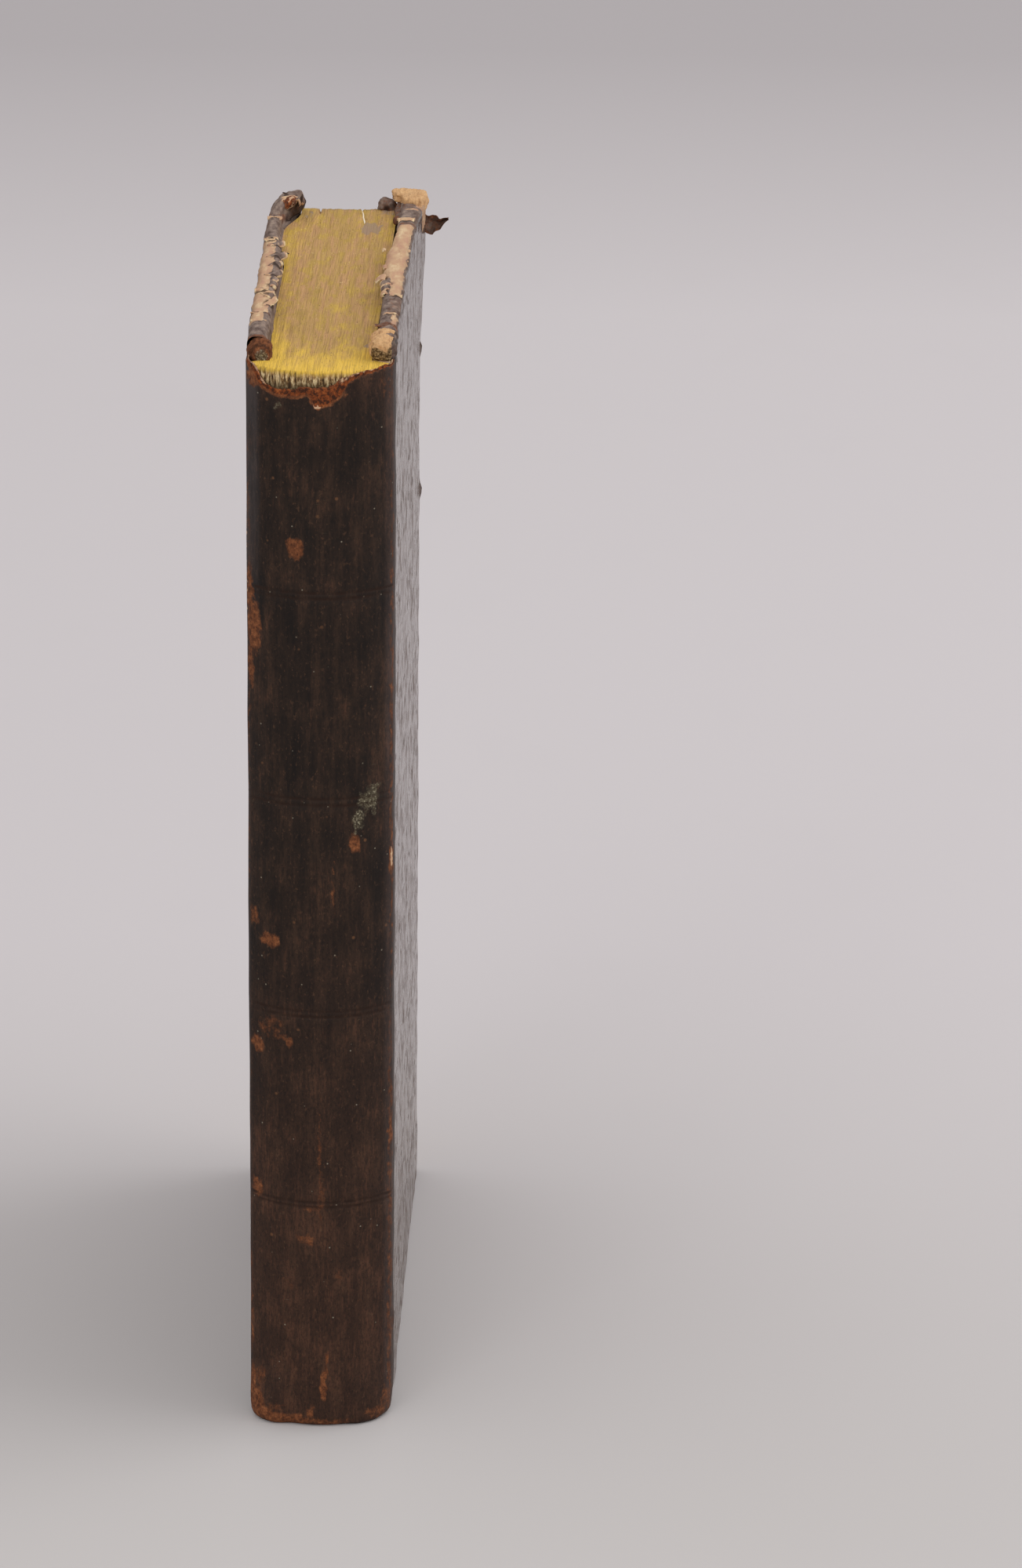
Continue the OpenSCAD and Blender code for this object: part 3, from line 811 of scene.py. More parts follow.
@dataclass(frozen=True)
class Pasteboard:
    """Layers of pasted waste paper, pale where they are newly broken."""

    light: Shade = shade(216, 176, 128)
    mid: Shade = shade(196, 154, 110)
    dark: Shade = shade(150, 108, 72)

    def make(self) -> Material:
        """Builds the material."""
        f = Finish("pasteboard")
        layer = f.grain((0.22, 5, 5), 3, 0.6)
        lump = f.grain((1.2, 1.6, 1.2), 4, 0.62, 5)
        grit = f.grain((0.3, 0.4, 0.3), 3, 0.6, 9)
        colour = f.ramp(lump * 0.6 + layer * 0.4, (0.3, self.dark), (0.46, self.mid),
                        (0.66, self.light))
        colour = f.blend((1 - grit.step(0.28, 0.5)) * 0.5, colour, shade(110, 80, 54))
        soot = (f.mask("soot") + (lump - 0.5) * 1.1).step(0.35, 0.75)
        tint = f.ramp(grit, (0.4, shade(62, 44, 26)), (0.54, shade(122, 98, 66)),
                      (0.68, shade(176, 152, 112)))
        colour = f.blend(soot, colour, tint)
        f.relief(layer * 0.4 + lump * 0.6 + grit * 0.4, 0.25)
        return f.dress(colour, 0.9, 0.2)


@dataclass(frozen=True)
class Hemp:
    """Twisted hemp cord, darkened with age."""

    def make(self) -> Material:
        """Builds the material."""
        f = Finish("hemp_cord")
        twist = f.grain((0.5, 0.9, 0.3), 4, 0.6)
        colour = f.ramp(twist, (0.3, shade(112, 92, 62)), (0.55, shade(170, 150, 112)),
                        (0.75, shade(198, 180, 142)))
        f.relief(twist, 0.15)
        return f.dress(colour, 0.9, 0.2)


@dataclass(frozen=True)
class Floor:
    """Seamless pale paper under and behind the book, painted darker towards the back and a little
    darker near the front, as painted shade.
    """

    def make(self) -> Material:
        """Builds the material."""
        f = Finish("backdrop_paper")
        parts = f.node("ShaderNodeSeparateXYZ", None, {0: f.place})
        depth = Value(f, parts.outputs["Y"])
        # Painted shade: darker far back and a little darker close in front
        far = shade(180, 175, 177)
        middle = shade(200, 195, 197)
        mild = shade(198, 193, 195)
        near = shade(190, 186, 185)
        colour = f.ramp(depth * 0.5 + 0.1, (0.05, near), (0.2, mild), (0.5, middle), (0.72, far))
        fibre = f.grain((30, 60, 30), 3, 0.5)
        colour = f.blend((fibre - 0.5).step(0.0, 0.3) * 0.04, colour, shade(180, 176, 178))
        return f.dress(colour, 0.9, 0.1)


class Side(Enum):
    """Which cover, and to which side of the book it lies."""

    FRONT = 1
    BACK = -1


@dataclass(frozen=True)
class Flake:
    """A lifted tongue of leather in a cover's frame: U outwards, V from the joint, W up."""

    u: float
    v: float
    w: float
    length: float
    width: float
    turn: float
    lift: float
    curl: float
    tan: float = 0.1
    rust: float = 0.0
    thick: float = 0.2
    ragged: float = 0.35
    # Share of the flake that is painted with the shade colour
    dark: float = 0.0

    def shadow_at(self, u: float, v: float) -> float:
        """How dark the painted shadow under a rolled flake is, at a place on the head edge."""
        if self.curl < 100 or self.w > 200.5:
            return 0.0
        turn = math.radians(self.turn)
        ahead = (u - self.u) * math.cos(turn) + (v - self.v) * math.sin(turn) - 0.45 * self.length
        aside = (v - self.v) * math.cos(turn) - (u - self.u) * math.sin(turn)
        reach = math.hypot(ahead / (0.55 * self.length + 0.35), aside / (0.5 * self.width))
        return 0.85 * ease(1.15, 0.7, reach)


@dataclass(frozen=True)
class Lump:
    """A rough lump in a cover's frame: its extents along U, V and W, in millimetres."""

    u: tuple[float, float]
    v: tuple[float, float]
    w: tuple[float, float]
    radius: float
    rough: float
    step: float
    seed: int


@dataclass(frozen=True)
class WornSpan:
    """A stretch of a head edge where tan fibres show: V from and to, U from and to, strength."""

    v0: float
    v1: float
    u0: float
    u1: float
    strength: float

    def at(self, u: float, v: float) -> float:
        """Strength at a place on the edge, with ragged ends."""
        v += 1.1 * wobble(u / 1.3, v / 2.2, 0, 80)
        u += 0.35 * wobble(v / 2.4, u, 0, 81)
        inside = ease(self.v0 - 0.5, self.v0 + 0.5, v) * ease(self.v1 + 0.5, self.v1 - 0.5, v)
        inside *= ease(self.u0 - 0.3, self.u0 + 0.3, u) * ease(self.u1 + 0.3, self.u1 - 0.3, u)
        return self.strength * inside


def head_rows() -> list[float]:
    """Heights of the rows of the leather up to where the torn head begins."""
    rows = [2.0, 2.5, 3.1, 3.8, 4.6, 5.5]
    rows += ends_and_steps(6.5, TORN_FROM, 1.05)
    rows += [line + step for line in BLIND_LINES for step in (-0.5, -0.25, 0.0, 0.25, 0.5)]
    rows.sort()
    return [z for k, z in enumerate(rows) if k == 0 or z - rows[k - 1] > 0.09]


HEAD_ROWS = head_rows()


@dataclass
class Cover:
    """One cover: its leather, the worn and curled places at its head, and what lies in it."""

    side: Side
    splay: float
    spans: tuple[WornSpan, ...]
    rust_spans: tuple[WornSpan, ...]
    flakes: tuple[Flake, ...]
    bulge: Curve = ((0, 0.0),)
    recess: Curve = ((0, 0.0),)
    swell: float = 0.0
    swell_l: float = 34.0
    first_v: float = 0.9
    corner_dip: float = 0.0
    bare_fore: float = 0.0

    @property
    def name(self) -> str:
        """The start of the names of this cover's nodes and pieces."""
        return "front" if self.side is Side.FRONT else "back"

    @property
    def body(self) -> str:
        """The body that this cover's pieces ride on."""
        return f"{self.name}_cover"

    def spot(self, u: float, v: float, w: float) -> Point:
        """A place in the cover's frame, bent as the head edge is, in the book's frame."""
        lean = math.radians(self.splay)
        outer = along(self.bulge, v) * ease(172, 199, w)
        inner = along(self.recess, v) * ease(195.4, 197.8, w)
        u += lerp(inner, outer, min(max((u - 0.25) / 3.6, 0.0), 1.0))
        x = PLAN.cover_in + u * math.cos(lean) + v * math.sin(lean)
        y = PLAN.joint_y + v * math.cos(lean) - u * math.sin(lean)
        return (self.side.value * x, y, w)

    def dip_at(self, v: float, w: float) -> float:
        """How far the bruised head corner is pressed down."""
        return self.corner_dip * ease(105, 115, v) * ease(190, 199.5, w)

    def swelling(self, v: float, w: float) -> float:
        """Outward swelling of the outer face at the bruised head corner."""
        span = self.swell_l - 0.9
        rise = 1 - (PLAN.board_d - 0.9 - v) / span - (PLAN.board_h - 0.9 - w) / span
        return self.swell * ease(0.0, 1.0, rise) if rise > 0 else 0.0

    def leather_place(self, at: Vector, normal: Vector) -> tuple[Point, Masks]:
        """Places a point of the leather, with its waviness, dents and wear."""
        u, v, w = at
        x, y, z = self.spot(u, v, w)
        outer = max(0.0, normal.x)
        push = skin_relief(x, y, z)
        free = ease(1.0, 6.0, v)
        head = ease(188, 199, w)
        push += free * 0.16 * wobble(u / 3, v / 6, w / 6, 30 + self.side.value)
        push += free * head * 0.17 * wobble(u / 1.2, v / 2.4, w / 1.6, 33 + self.side.value)
        if v > 112:
            nub = min(math.hypot(v - 116, w - 170) / 1.3,
                      math.hypot(v - 116, (w - 142) / 1.6) / 1.2)
            push += outer * 0.5 * ease(1.0, 0.2, nub)
        edge = 1.0 - max(abs(normal.x), abs(normal.y), abs(normal.z))
        on_edge = ease(0.02, 0.25, edge) if abs(normal.x) > 0.01 or normal.z < 0.99 else 0.0
        tan = max(span.at(u, v) for span in self.spans) * ease(198.0, 199.4, w)
        rust = max(span.at(u, v) for span in self.rust_spans) * ease(196.5, 199.0, w)
        rubbed = 0.34 * on_edge + 0.1 * on_edge * wobble(u, v / 5, w / 5, 40)
        tail = ease(6, 0, w) * ease(104, 117, v)
        fore = ease(114.5, 116.6, v)
        rust = max(rust, rubbed, 0.62 * tail, 0.3 * fore * on_edge)
        dust = max(ease(0.1, 0.6, normal.z), ease(0.2, 0.8, -normal.x)) * ease(194, 197, w)
        dust = dust * 0.9 + 0.4 * ease(0.2, 0.7, normal.y) * (1 - outer)
        # Painted shadow under the rolled flakes
        hollow = max(flake.shadow_at(u, v) for flake in self.flakes) * ease(197.6, 199, w)
        ragged = 0.6 * wobble(v / 1.5, w / 1.5, 0, 36)
        bare = ease(104.5, 108.5, v + 4 * ragged) * ease(194.2, 195.4, w + ragged)
        tan = max(tan, self.bare_fore * bare * ease(0.2, 0.6, max(normal.x, normal.y)))
        push -= 0.14 * ease(0.3, 0.8, tan)
        polish = ease(0.3, 0.9, normal.x) * ease(2, 8, v) * ease(0.6, 0.3, rust)
        dip = self.dip_at(v, w)
        u += normal.x * push + outer * self.swelling(v, w) - 0.6 * dip
        v += normal.y * push
        w = max(w + normal.z * push - dip, 0.0)
        x, y, z = self.spot(u, v, w)
        return (x, y, z), {"rust": rust, "tan": tan, "dust": dust, "polish": polish,
                           "hollow": hollow}

    def draw_leather(self, leather: Material) -> Object:
        """Makes the covering leather with its turned-in edges."""
        bends = [PLAN.edge_r * (1 - math.tan(math.radians(angle))) for angle in BEND_ANGLES]
        across = [PLAN.lining_t + bend for bend in bends] + [1.65, 2.05, 2.45]
        across += [PLAN.cover_t - bend for bend in reversed(bends)]
        deep = rounded_axis(self.first_v, PLAN.board_d, PLAN.edge_r, 0.62, round_low=False)
        tall = HEAD_ROWS + spread_evenly(185, 193, 0.7) + spread_evenly(193, 198.6, 0.33)
        tall = rounded_axis(0.0, PLAN.board_h, PLAN.edge_r, 2 * PLAN.board_h, extra=tall)
        box = RoundedBox((sorted(across), deep, sorted(set(tall))), PLAN.edge_r, sharp_near=True)

        def keep(axis: int, end: int, middle: Vector) -> bool:
            """Leaves the joint side open, and the inner face beyond the turned-in rim."""
            if axis == 1 and end == 0:
                return False
            rim = min(middle.z, PLAN.board_h - middle.z, PLAN.board_d - middle.y) < PLAN.turn_in
            return not (axis == 0 and end == 0) or rim

        draft = Draft(f"{self.name}_leather_skin")
        box.draw(draft, self.leather_place, keep, flip=self.side is Side.BACK)
        return draft.build(leather)

    def draw_board(self, pasteboard: Material) -> Object:
        """Makes the board inside the leather, bent as the leather is."""
        axes = (list(PLAN.core), ends_and_steps(0.5, 116.2, 1.5),
                spread_evenly(0.6, 190, 9) + ends_and_steps(190, 199.1, 1.2))

        def place(at: Vector, _: Vector) -> tuple[Point, Masks]:
            """Bends the board."""
            u, v, w = at
            dip = self.dip_at(v, w)
            return self.spot(u - 0.6 * dip, v, w - dip), {}

        draft = Draft(f"{self.name}_pasteboard")
        RoundedBox(axes, 0.3).draw(draft, place, flip=self.side is Side.BACK)
        return draft.build(pasteboard)

    def draw_flakes(self, leather: Material) -> Object:
        """Makes the curled flakes of leather along the head edge."""
        draft = Draft(f"{self.name}_curled_flakes")
        for seed, flake in enumerate(self.flakes):
            self.draw_flake(draft, flake, seed)
        return draft.build(leather)

    def draw_flake(self, draft: Draft, flake: Flake, seed: int) -> None:
        """Adds one flake: a ragged, pale-rimmed ribbon that rises from its root and rolls over."""
        turn = math.radians(flake.turn)
        ahead = Vector((math.cos(turn), math.sin(turn), 0))
        aside = Vector((-math.sin(turn), math.cos(turn), 0))
        steps, lanes = 14, 11
        sheets: Sheets = ([], [])
        root = Vector((flake.u, flake.v, flake.w))
        for k in range(lanes):
            lane = -1 + 2 * k / (lanes - 1)
            torn = 1.6 * abs(wobble(lane * 1.9, seed * 3.1, 0, 90)) + 0.4 * lane * lane
            reach = flake.length * (1 - flake.ragged * torn)
            at = root.copy()
            angle = math.radians(flake.lift)
            rows: tuple[list[int], list[int]] = ([], [])
            for i in range(steps + 1):
                share = i / steps
                grow = ahead * math.cos(angle) + Vector((0, 0, 1)) * math.sin(angle)
                up = Vector((0, 0, 1)) * math.cos(angle) - ahead * math.sin(angle)
                narrowed = share - wobble(share * 3, seed, lane, 91)
                half = flake.width / 2 * (1 - 0.5 * flake.ragged * narrowed)
                lifted = 0.2 * wobble(share * 2, lane * 2, seed, 92)
                side_at = at + aside * (lane * half) + up * lifted
                thick = flake.thick * (1 - 0.4 * share) * (1.5 if flake.curl >= 100 else 1.0)
                rim = max(ease(0.7, 0.9, share), ease(0.5, 0.85, abs(lane)) * min(1.0, 2 * share))
                for sheet, offset in enumerate((thick / 2, -thick / 2)):
                    base = flake.tan if sheet == 0 else 0.6
                    # Dark flakes lose their tan and take the painted shade
                    tan = max(base, 1.4 * rim * (1 - flake.rust)) * (1 - flake.dark)
                    p = side_at + up * offset
                    p.x = min(p.x, 3.75)
                    masks = {"tan": tan, "rust": flake.rust, "dust": 0.9, "hollow": flake.dark}
                    rows[sheet].append(draft.point(*self.spot(*p), masks))
                at += grow * (reach / steps)
                angle -= math.radians(flake.curl) / steps
            sheets[0].append(rows[0])
            sheets[1].append(rows[1])
        flip = self.side is Side.FRONT
        draft.sheet(sheets[0], flip=flip)
        draft.sheet(sheets[1], flip=not flip)
        rings = []
        for sheet in sheets:
            ring = list(sheet[0]) + [row[-1] for row in sheet[1:-1]] + list(reversed(sheet[-1]))
            ring += [row[0] for row in reversed(sheet[1:-1])]
            rings.append(ring)
        draft.sheet(rings, flip=not flip, wrap=True)

    def draw_lump(self, name: str, lump: Lump, paint: Callable[[Vector, Vector], Masks],
                  *finishes: Material) -> Object:
        """Makes a lump with rounded edges and a rough surface.

        Args:
            name: Name of the piece.
            lump: Its extents and roughness.
            paint: Gives the masks for a place and its normal.
            finishes: Its finish and, if there is one, the finish of its outer side.

        Returns:
            The new object.
        """
        axes = tuple(ends_and_steps(low, high, lump.step) for low, high in (lump.u, lump.v, lump.w))

        def place(at: Vector, normal: Vector) -> tuple[Point, Masks]:
            """Roughens the lump."""
            push = lump.rough * wobble(at.x / 2.2, at.y / 2.4, at.z / 1.9, lump.seed)
            push += 0.55 * lump.rough * wobble(at.x / 0.7, at.y / 0.8, at.z / 0.7, lump.seed + 1)
            return self.spot(*(at + normal * push)), paint(at, normal)

        draft = Draft(name)
        box = RoundedBox(axes, lump.radius)
        flip = self.side is Side.BACK
        last = len(finishes) - 1
        box.draw(draft, place, lambda axis, end, _: axis == 0 and end == 1, last, flip)
        box.draw(draft, place, lambda axis, end, _: axis != 0 or end == 0, 0, flip)
        return draft.build(*finishes)

    def draw_near_end(self, *finishes: Material) -> Object:
        """Makes the rolled leather round the broken near end of the board at the head."""
        lump = Lump((-0.8, 3.8), (-1.4, 3.4), (193.5, 199.6), radius=2.2, rough=0.45, step=0.2,
                    seed=100)

        def paint(at: Vector, normal: Vector) -> Masks:
            """Rust all over, with a crumbly core, and painted shade in a ring and a low patch on
            the near face.
            """
            core = math.hypot((at.x - 1.2) / 1.5, (at.z - 197.0) / 1.6)
            low = math.hypot((at.x + 0.2) / 0.9, (at.z - 195.4) / 1.5)
            ring = abs(core - 1.25) / 0.3
            near = ease(-0.3, -0.8, normal.y)
            # Painted shade in a ring round the core and in a low patch
            hollow = max(0.75 * ease(1.2, 0.5, low), 0.6 * ease(1.0, 0.4, ring))
            return {"rust": ease(2.6, 0.6, at.y), "crust": 0.9 * near * ease(1.0, 0.55, core),
                    "hollow": near * hollow, "dust": 0.8 * ease(0.4, 2.2, at.y)}

        return self.draw_lump(f"{self.name}_near_end", lump, paint, *finishes)


@dataclass
class BackCover(Cover):
    """The back cover, whose head corner at the fore edge is curled in like a fist."""

    roll_top: Curve = (
        (96.6, 199.8), (98, 200.1), (100.5, 200.9), (103, 201.6), (106, 202.1), (109, 202.1),
        (113, 201.0))
    roll_width: Curve = ((199, 1.0), (200.4, 0.9), (201.4, 0.76), (202.2, 0.55))

    def draw_corner_roll(self, leather: Material) -> Object:
        """Makes the curled lump of leather at the corner."""
        axes = (ends_and_steps(-1.7, 3.9, 0.2), ends_and_steps(96.6, 113.4, 0.3),
                ends_and_steps(197.2, 202.2, 0.2))

        def place(at: Vector, normal: Vector) -> tuple[Point, Masks]:
            """Lifts the lump towards the fore edge and wrinkles it."""
            u, v, w = at
            high = (w - 197.2) / 5.0
            w = lerp(197.2, along(self.roll_top, v), high)
            u = lerp(u, max(u, 3.9 - (3.9 - u) * 0.5), ease(110, 97, v))
            u = -2.0 + (u + 2.0) * along(self.roll_width, w) - 0.2 * high
            push = 0.4 * wobble(u / 2.4, v / 3.0, w / 2.0, 101)
            push += 0.22 * wobble(u / 0.8, v / 1.0, w / 0.8, 102)
            p = Vector((u, v, w)) + normal * push
            place = Vector(((u + 0.1) / 1.4, (v - 103.4) / 2.6, (w - 201.2) / 1.1)).length
            place += 0.4 * wobble(u / 1.2, v / 1.2, w, 103)
            torn = ease(1.1, 0.7, place)
            lip = ease(0.22, 0.05, abs(place - 1.05))
            # The underside is painted darker as painted shade: less dust, some rust-brown and the
            # shade colour
            under = ease(200.9, 199.9, w) * ease(0.7, -0.6, u)
            scraps = 0.55 * torn * ease(0.1, 0.4, wobble(u / 0.6, v / 0.9, w / 0.6, 104))
            masks = {"dust": 0.95 * (1 - torn) * (1 - 0.6 * under),
                     "rust": max(1.3 * torn, 0.45 * under),
                     "tan": max(0.75 * lip * ease(101.5, 102.5, v), scraps), "hollow": 0.55 * under}
            return self.spot(*p), masks

        draft = Draft("corner_roll")
        RoundedBox(axes, 1.9).draw(draft, place, flip=True)
        return draft.build(leather)


# Heights of the torn ear's upper and lower edges, at shares of its length
EAR_TOP = (
    (0, 197.1), (0.15, 196.1), (0.24, 196.1), (0.4, 196.4), (0.54, 196.3), (0.63, 195.7),
    (0.78, 195.8), (1, 195.7),
)
EAR_FOOT = (
    (0, 193.6), (0.1, 193.1), (0.24, 192.7), (0.37, 192.6), (0.49, 193.2), (0.68, 193.6),
    (0.78, 194.4), (1, 195.4),
)


@dataclass
class FrontCover(Cover):
    """The front cover, whose head corner at the fore edge is bruised down to the pasteboard."""

    def draw_bare_corner(self, pasteboard: Material) -> Object:
        """Makes the lump of broken, swollen pasteboard."""
        axes = (ends_and_steps(-1.45, 5.15, 0.24), ends_and_steps(108.1, 118.0, 0.3),
                ends_and_steps(197.35, 200.95, 0.26))

        def place(at: Vector, normal: Vector) -> tuple[Point, Masks]:
            """Roughens the lump and opens its layers."""
            u, v, w = at
            push = 0.36 * wobble(u / 2.2, v / 2.6, w / 1.8, 120)
            push += 0.22 * wobble(u / 0.7, v / 0.8, w / 0.7, 121)
            push -= 0.12 * abs(math.sin(math.pi * u / 0.62)) * (1 - abs(normal.x))
            narrow = 0.55 * ease(113.5, 108.2, v)
            inner = ease(1.0, -0.6, u)
            w = lerp(w, 200.95 - (200.95 - w) * 0.5, inner)
            v = lerp(v, 118.0 - (118.0 - v) * 0.6, inner)
            u = lerp(u, 1.85, narrow * 0.5)
            u += normal.x * push
            v += normal.y * push
            w += normal.z * push * 0.8
            return self.spot(u, v, w), {"soot": 0.25 * ease(112, 108.5, v)}

        draft = Draft("bare_board_corner")
        RoundedBox(axes, 0.7).draw(draft, place)
        return draft.build(pasteboard)

    def draw_knob(self, leather: Material) -> Object:
        """Makes the hard little roll of leather that is left on the inner side of the corner."""
        lump = Lump((-4.0, -0.6), (112.6, 116.8), (196.9, 199.4), radius=1.2, rough=0.5, step=0.2,
                    seed=130)

        def paint(at: Vector, normal: Vector) -> Masks:
            """Brown flesh, with painted shade at the roll's near end."""
            end = math.hypot((at.x + 2.5) / 0.8, (at.z - 198.1) / 0.7)
            return {"rust": 0.52, "dust": 0.62,
                    "hollow": 0.8 * ease(-0.3, -0.8, normal.y) * ease(1.0, 0.4, end)}

        return self.draw_lump("corner_leather_roll", lump, paint, leather)

    def draw_inner_wall(self, leather: Material) -> Object:
        """Makes the turned-in leather that hangs together between the roll and the head edge."""
        lump = Lump((-0.6, 1.0), (99.0, 114.2), (197.8, 199.4), radius=0.7, rough=0.3, step=0.3,
                    seed=134)

        def paint(_: Vector, __: Vector) -> Masks:
            """Brown flesh."""
            return {"rust": 0.6, "dust": 0.5}

        return self.draw_lump("corner_inner_leather", lump, paint, leather)

    def draw_near_end(self, *finishes: Material) -> Object:
        """Makes the bare tan block of the board's near end, crumbled and dirty below."""
        lump = Lump((-0.5, 3.95), (-1.7, 9.4), (195.9, 200.3), radius=2.15, rough=0.5, step=0.2,
                    seed=110)

        def paint(at: Vector, normal: Vector) -> Masks:
            """Dirt on the lower part of the broken face."""
            near = ease(0.1, -0.5, normal.y)
            rough = 1.3 * wobble(at.x / 1.3, at.y, at.z / 1.3, 113)
            under = ease(200.2, 197.6, at.z + rough) * ease(196.0, 196.5, at.z)
            return {"soot": 0.9 * near * under, "rust": 0.35, "dust": 0.5}

        return self.draw_lump("front_near_end", lump, paint, *finishes)

    def draw_ear(self, leather: Material) -> Object:
        """Makes the torn tongue of leather that stands out from the corner."""
        draft = Draft("torn_ear")
        steps, lanes = 16, 12
        sheets: Sheets = ([], [])
        for i in range(steps + 1):
            share = i / steps
            upper, lower = along(EAR_TOP, share), along(EAR_FOOT, share)
            rows: tuple[list[int], list[int]] = ([], [])
            for k in range(lanes + 1):
                lane = k / lanes
                ragged = 0.25 * wobble(share * 5, lane * 4, 0, 140)
                u = 4.5 + 4.7 * share + 0.4 * wobble(lane * 3, share, 0, 141) * share
                v = 114.8 + 1.2 * math.sin(lane * math.pi) * (0.3 + share) + ragged
                v += 0.5 * wobble(share * 2.6, lane * 2.2, 0, 143)
                w = lerp(lower, upper, lane) + 0.2 * wobble(share * 6, lane * 5, 1, 142)
                for sheet, offset in enumerate((-0.3, 0.3)):
                    edge = ease(0.12, 0.0, min(lane, 1 - lane, 1 - share))
                    # Patches of painted shade over the ear, away from its edges
                    dent_shade = ease(0.0, 0.5, wobble(share * 3, lane * 3, 0, 144)) * (1 - edge)
                    masks = {"rust": 0.6 + 0.5 * edge, "dust": 0.66, "hollow": 0.4 * dent_shade}
                    rows[sheet].append(draft.point(*self.spot(u, v + offset * (1 - 0.6 * edge), w),
                                                   masks))
            sheets[0].append(rows[0])
            sheets[1].append(rows[1])
        draft.sheet(sheets[0])
        draft.sheet(sheets[1], flip=True)
        for lane_end, flip in ((0, True), (-1, False)):
            draft.sheet([[row[lane_end] for row in sheets[0]],
                         [row[lane_end] for row in sheets[1]]], flip=flip)
        draft.sheet([sheets[0][-1], sheets[1][-1]], flip=True)
        return draft.build(leather)


@dataclass
class Spine:
    """The leather over the rounded back, torn at the head, and the strips at both joints."""

    limb_y: float = 2.6
    turn_r: float = 1.2
    strip_lanes: int = 9

    def columns(self) -> list[tuple[float, float, float, float]]:
        """Places and outward normals along the spine's outline, from the left limb to the right."""
        plan = PLAN
        columns = [(-plan.half_t, y, -1.0, 0.0) for y in (self.limb_y + 0.4, self.limb_y, 2.1, 1.6)]

        def bend(cx: float, cy: float, radius: float, start: float, end: float, count: int) -> None:
            """Adds the points of an arc."""
            for i in range(count + 1):
                angle = lerp(start, end, i / count)
                columns.append((*arc(cx, cy, radius, angle), *arc(0, 0, 1, angle)))

        bend(-plan.flank, plan.shoulder_y, plan.shoulder_r, 180, 268.5 - plan.spread, 8)
        bend(0, plan.spine_c, plan.spine_r, 270 - plan.spread, 270 + plan.spread, 88)
        bend(plan.flank, plan.shoulder_y, plan.shoulder_r, 271.5 + plan.spread, 360, 8)
        columns += [(plan.half_t, y, 1.0, 0.0) for y in (1.6, 2.1, self.limb_y, self.limb_y + 0.4)]
        return columns

    def profile(self, tear_x: float, turn_r: float) -> list[tuple[float, float, Masks]]:
        """Inset, height and masks of the rows of one column, from the tail to the torn head."""
        rows: list[tuple[float, float, Masks]] = [
            (2 * turn_r, 3.6, {"rust": 0.3}), (2 * turn_r, 1.5, {"rust": 0.5})]
        for angle in (-60, -30, 0, 30, 60, 90):
            bend = math.radians(angle)
            rows.append((turn_r * (1 - math.sin(bend)), turn_r * (1 - math.cos(bend)), {}))
        rows += [(0.0, z, {}) for z in HEAD_ROWS]
        grain = tear_height(GRAIN_TEAR, tear_x, 11)
        flesh = max(tear_height(FLESH_TEAR, tear_x, 14), grain + 0.25)
        count = 36
        rows += [(0.0, lerp(TORN_FROM, grain, i / count), {}) for i in range(1, count + 1)]
        ragged = 0.05 * wobble(tear_x * 3, 0, 0, 15)
        fringe = 0.47 if tear_x > 3.4 or tear_x < -9.2 else 0.2
        rows.append((0.2 + ragged, grain + 0.05, {"rust": 1.25}))
        rows += [(0.3 + ragged, lerp(grain, flesh, i / 5),
                  {"rust": 1.3, "tan": fringe * (0, 0.2, 0.7, 1.0)[i - 1]})
                 for i in range(1, 5)]
        rows.append((0.36 + ragged, flesh, {"rust": 0.9, "tan": fringe}))
        rows += [(0.52, flesh - 0.05, {"rust": 0.8, "tan": fringe}),
                 (0.6, flesh - 0.6, {"rust": 0.6}), (0.62, 186.0, {})]
        return rows

    def draw_skin(self, leather: Material) -> Object:
        """Makes the spine's leather."""
        draft = Draft("spine_skin")
        lanes = []
        for x, y, nx, ny in self.columns():
            lane = []
            for inset, z, masks in self.profile(x, self.turn_r):
                push = skin_relief(x, y, z) - inset
                lane.append(draft.point(x + nx * push, y + ny * push, z,
                                        skin_masks(x, y, z, masks)))
            lanes.append(lane)
        draft.sheet(lanes, flip=True)
        return draft.build(leather)

    def draw_joint(self, cover: Cover, leather: Material) -> Object:
        """Makes the strip of leather between the spine and a cover."""
        draft = Draft(f"{cover.name}_joint_leather")
        side = cover.side.value
        tucked = 0.035
        lanes = []
        for k in range(self.strip_lanes + 4):
            share = (k - 1.5) / self.strip_lanes
            turn_r = lerp(self.turn_r, PLAN.edge_r, min(max(share, 0.0), 1.0))
            end_x, end_y, _ = cover.spot(PLAN.cover_t, cover.first_v, 0)
            x = side * lerp(PLAN.half_t, abs(end_x), share)
            y = lerp(self.limb_y, end_y, share)
            tuck = tucked if share < 0 or share > 1 else 0.0
            lane = []
            for inset, z, masks in self.profile(side * PLAN.half_t, turn_r):
                push = skin_relief(x, y, z) - inset - tuck
                lane.append(draft.point(x + side * push, y, z, skin_masks(x, y, z, masks)))
            lanes.append(lane)
        draft.sheet(lanes, flip=side < 0)
        return draft.build(leather)


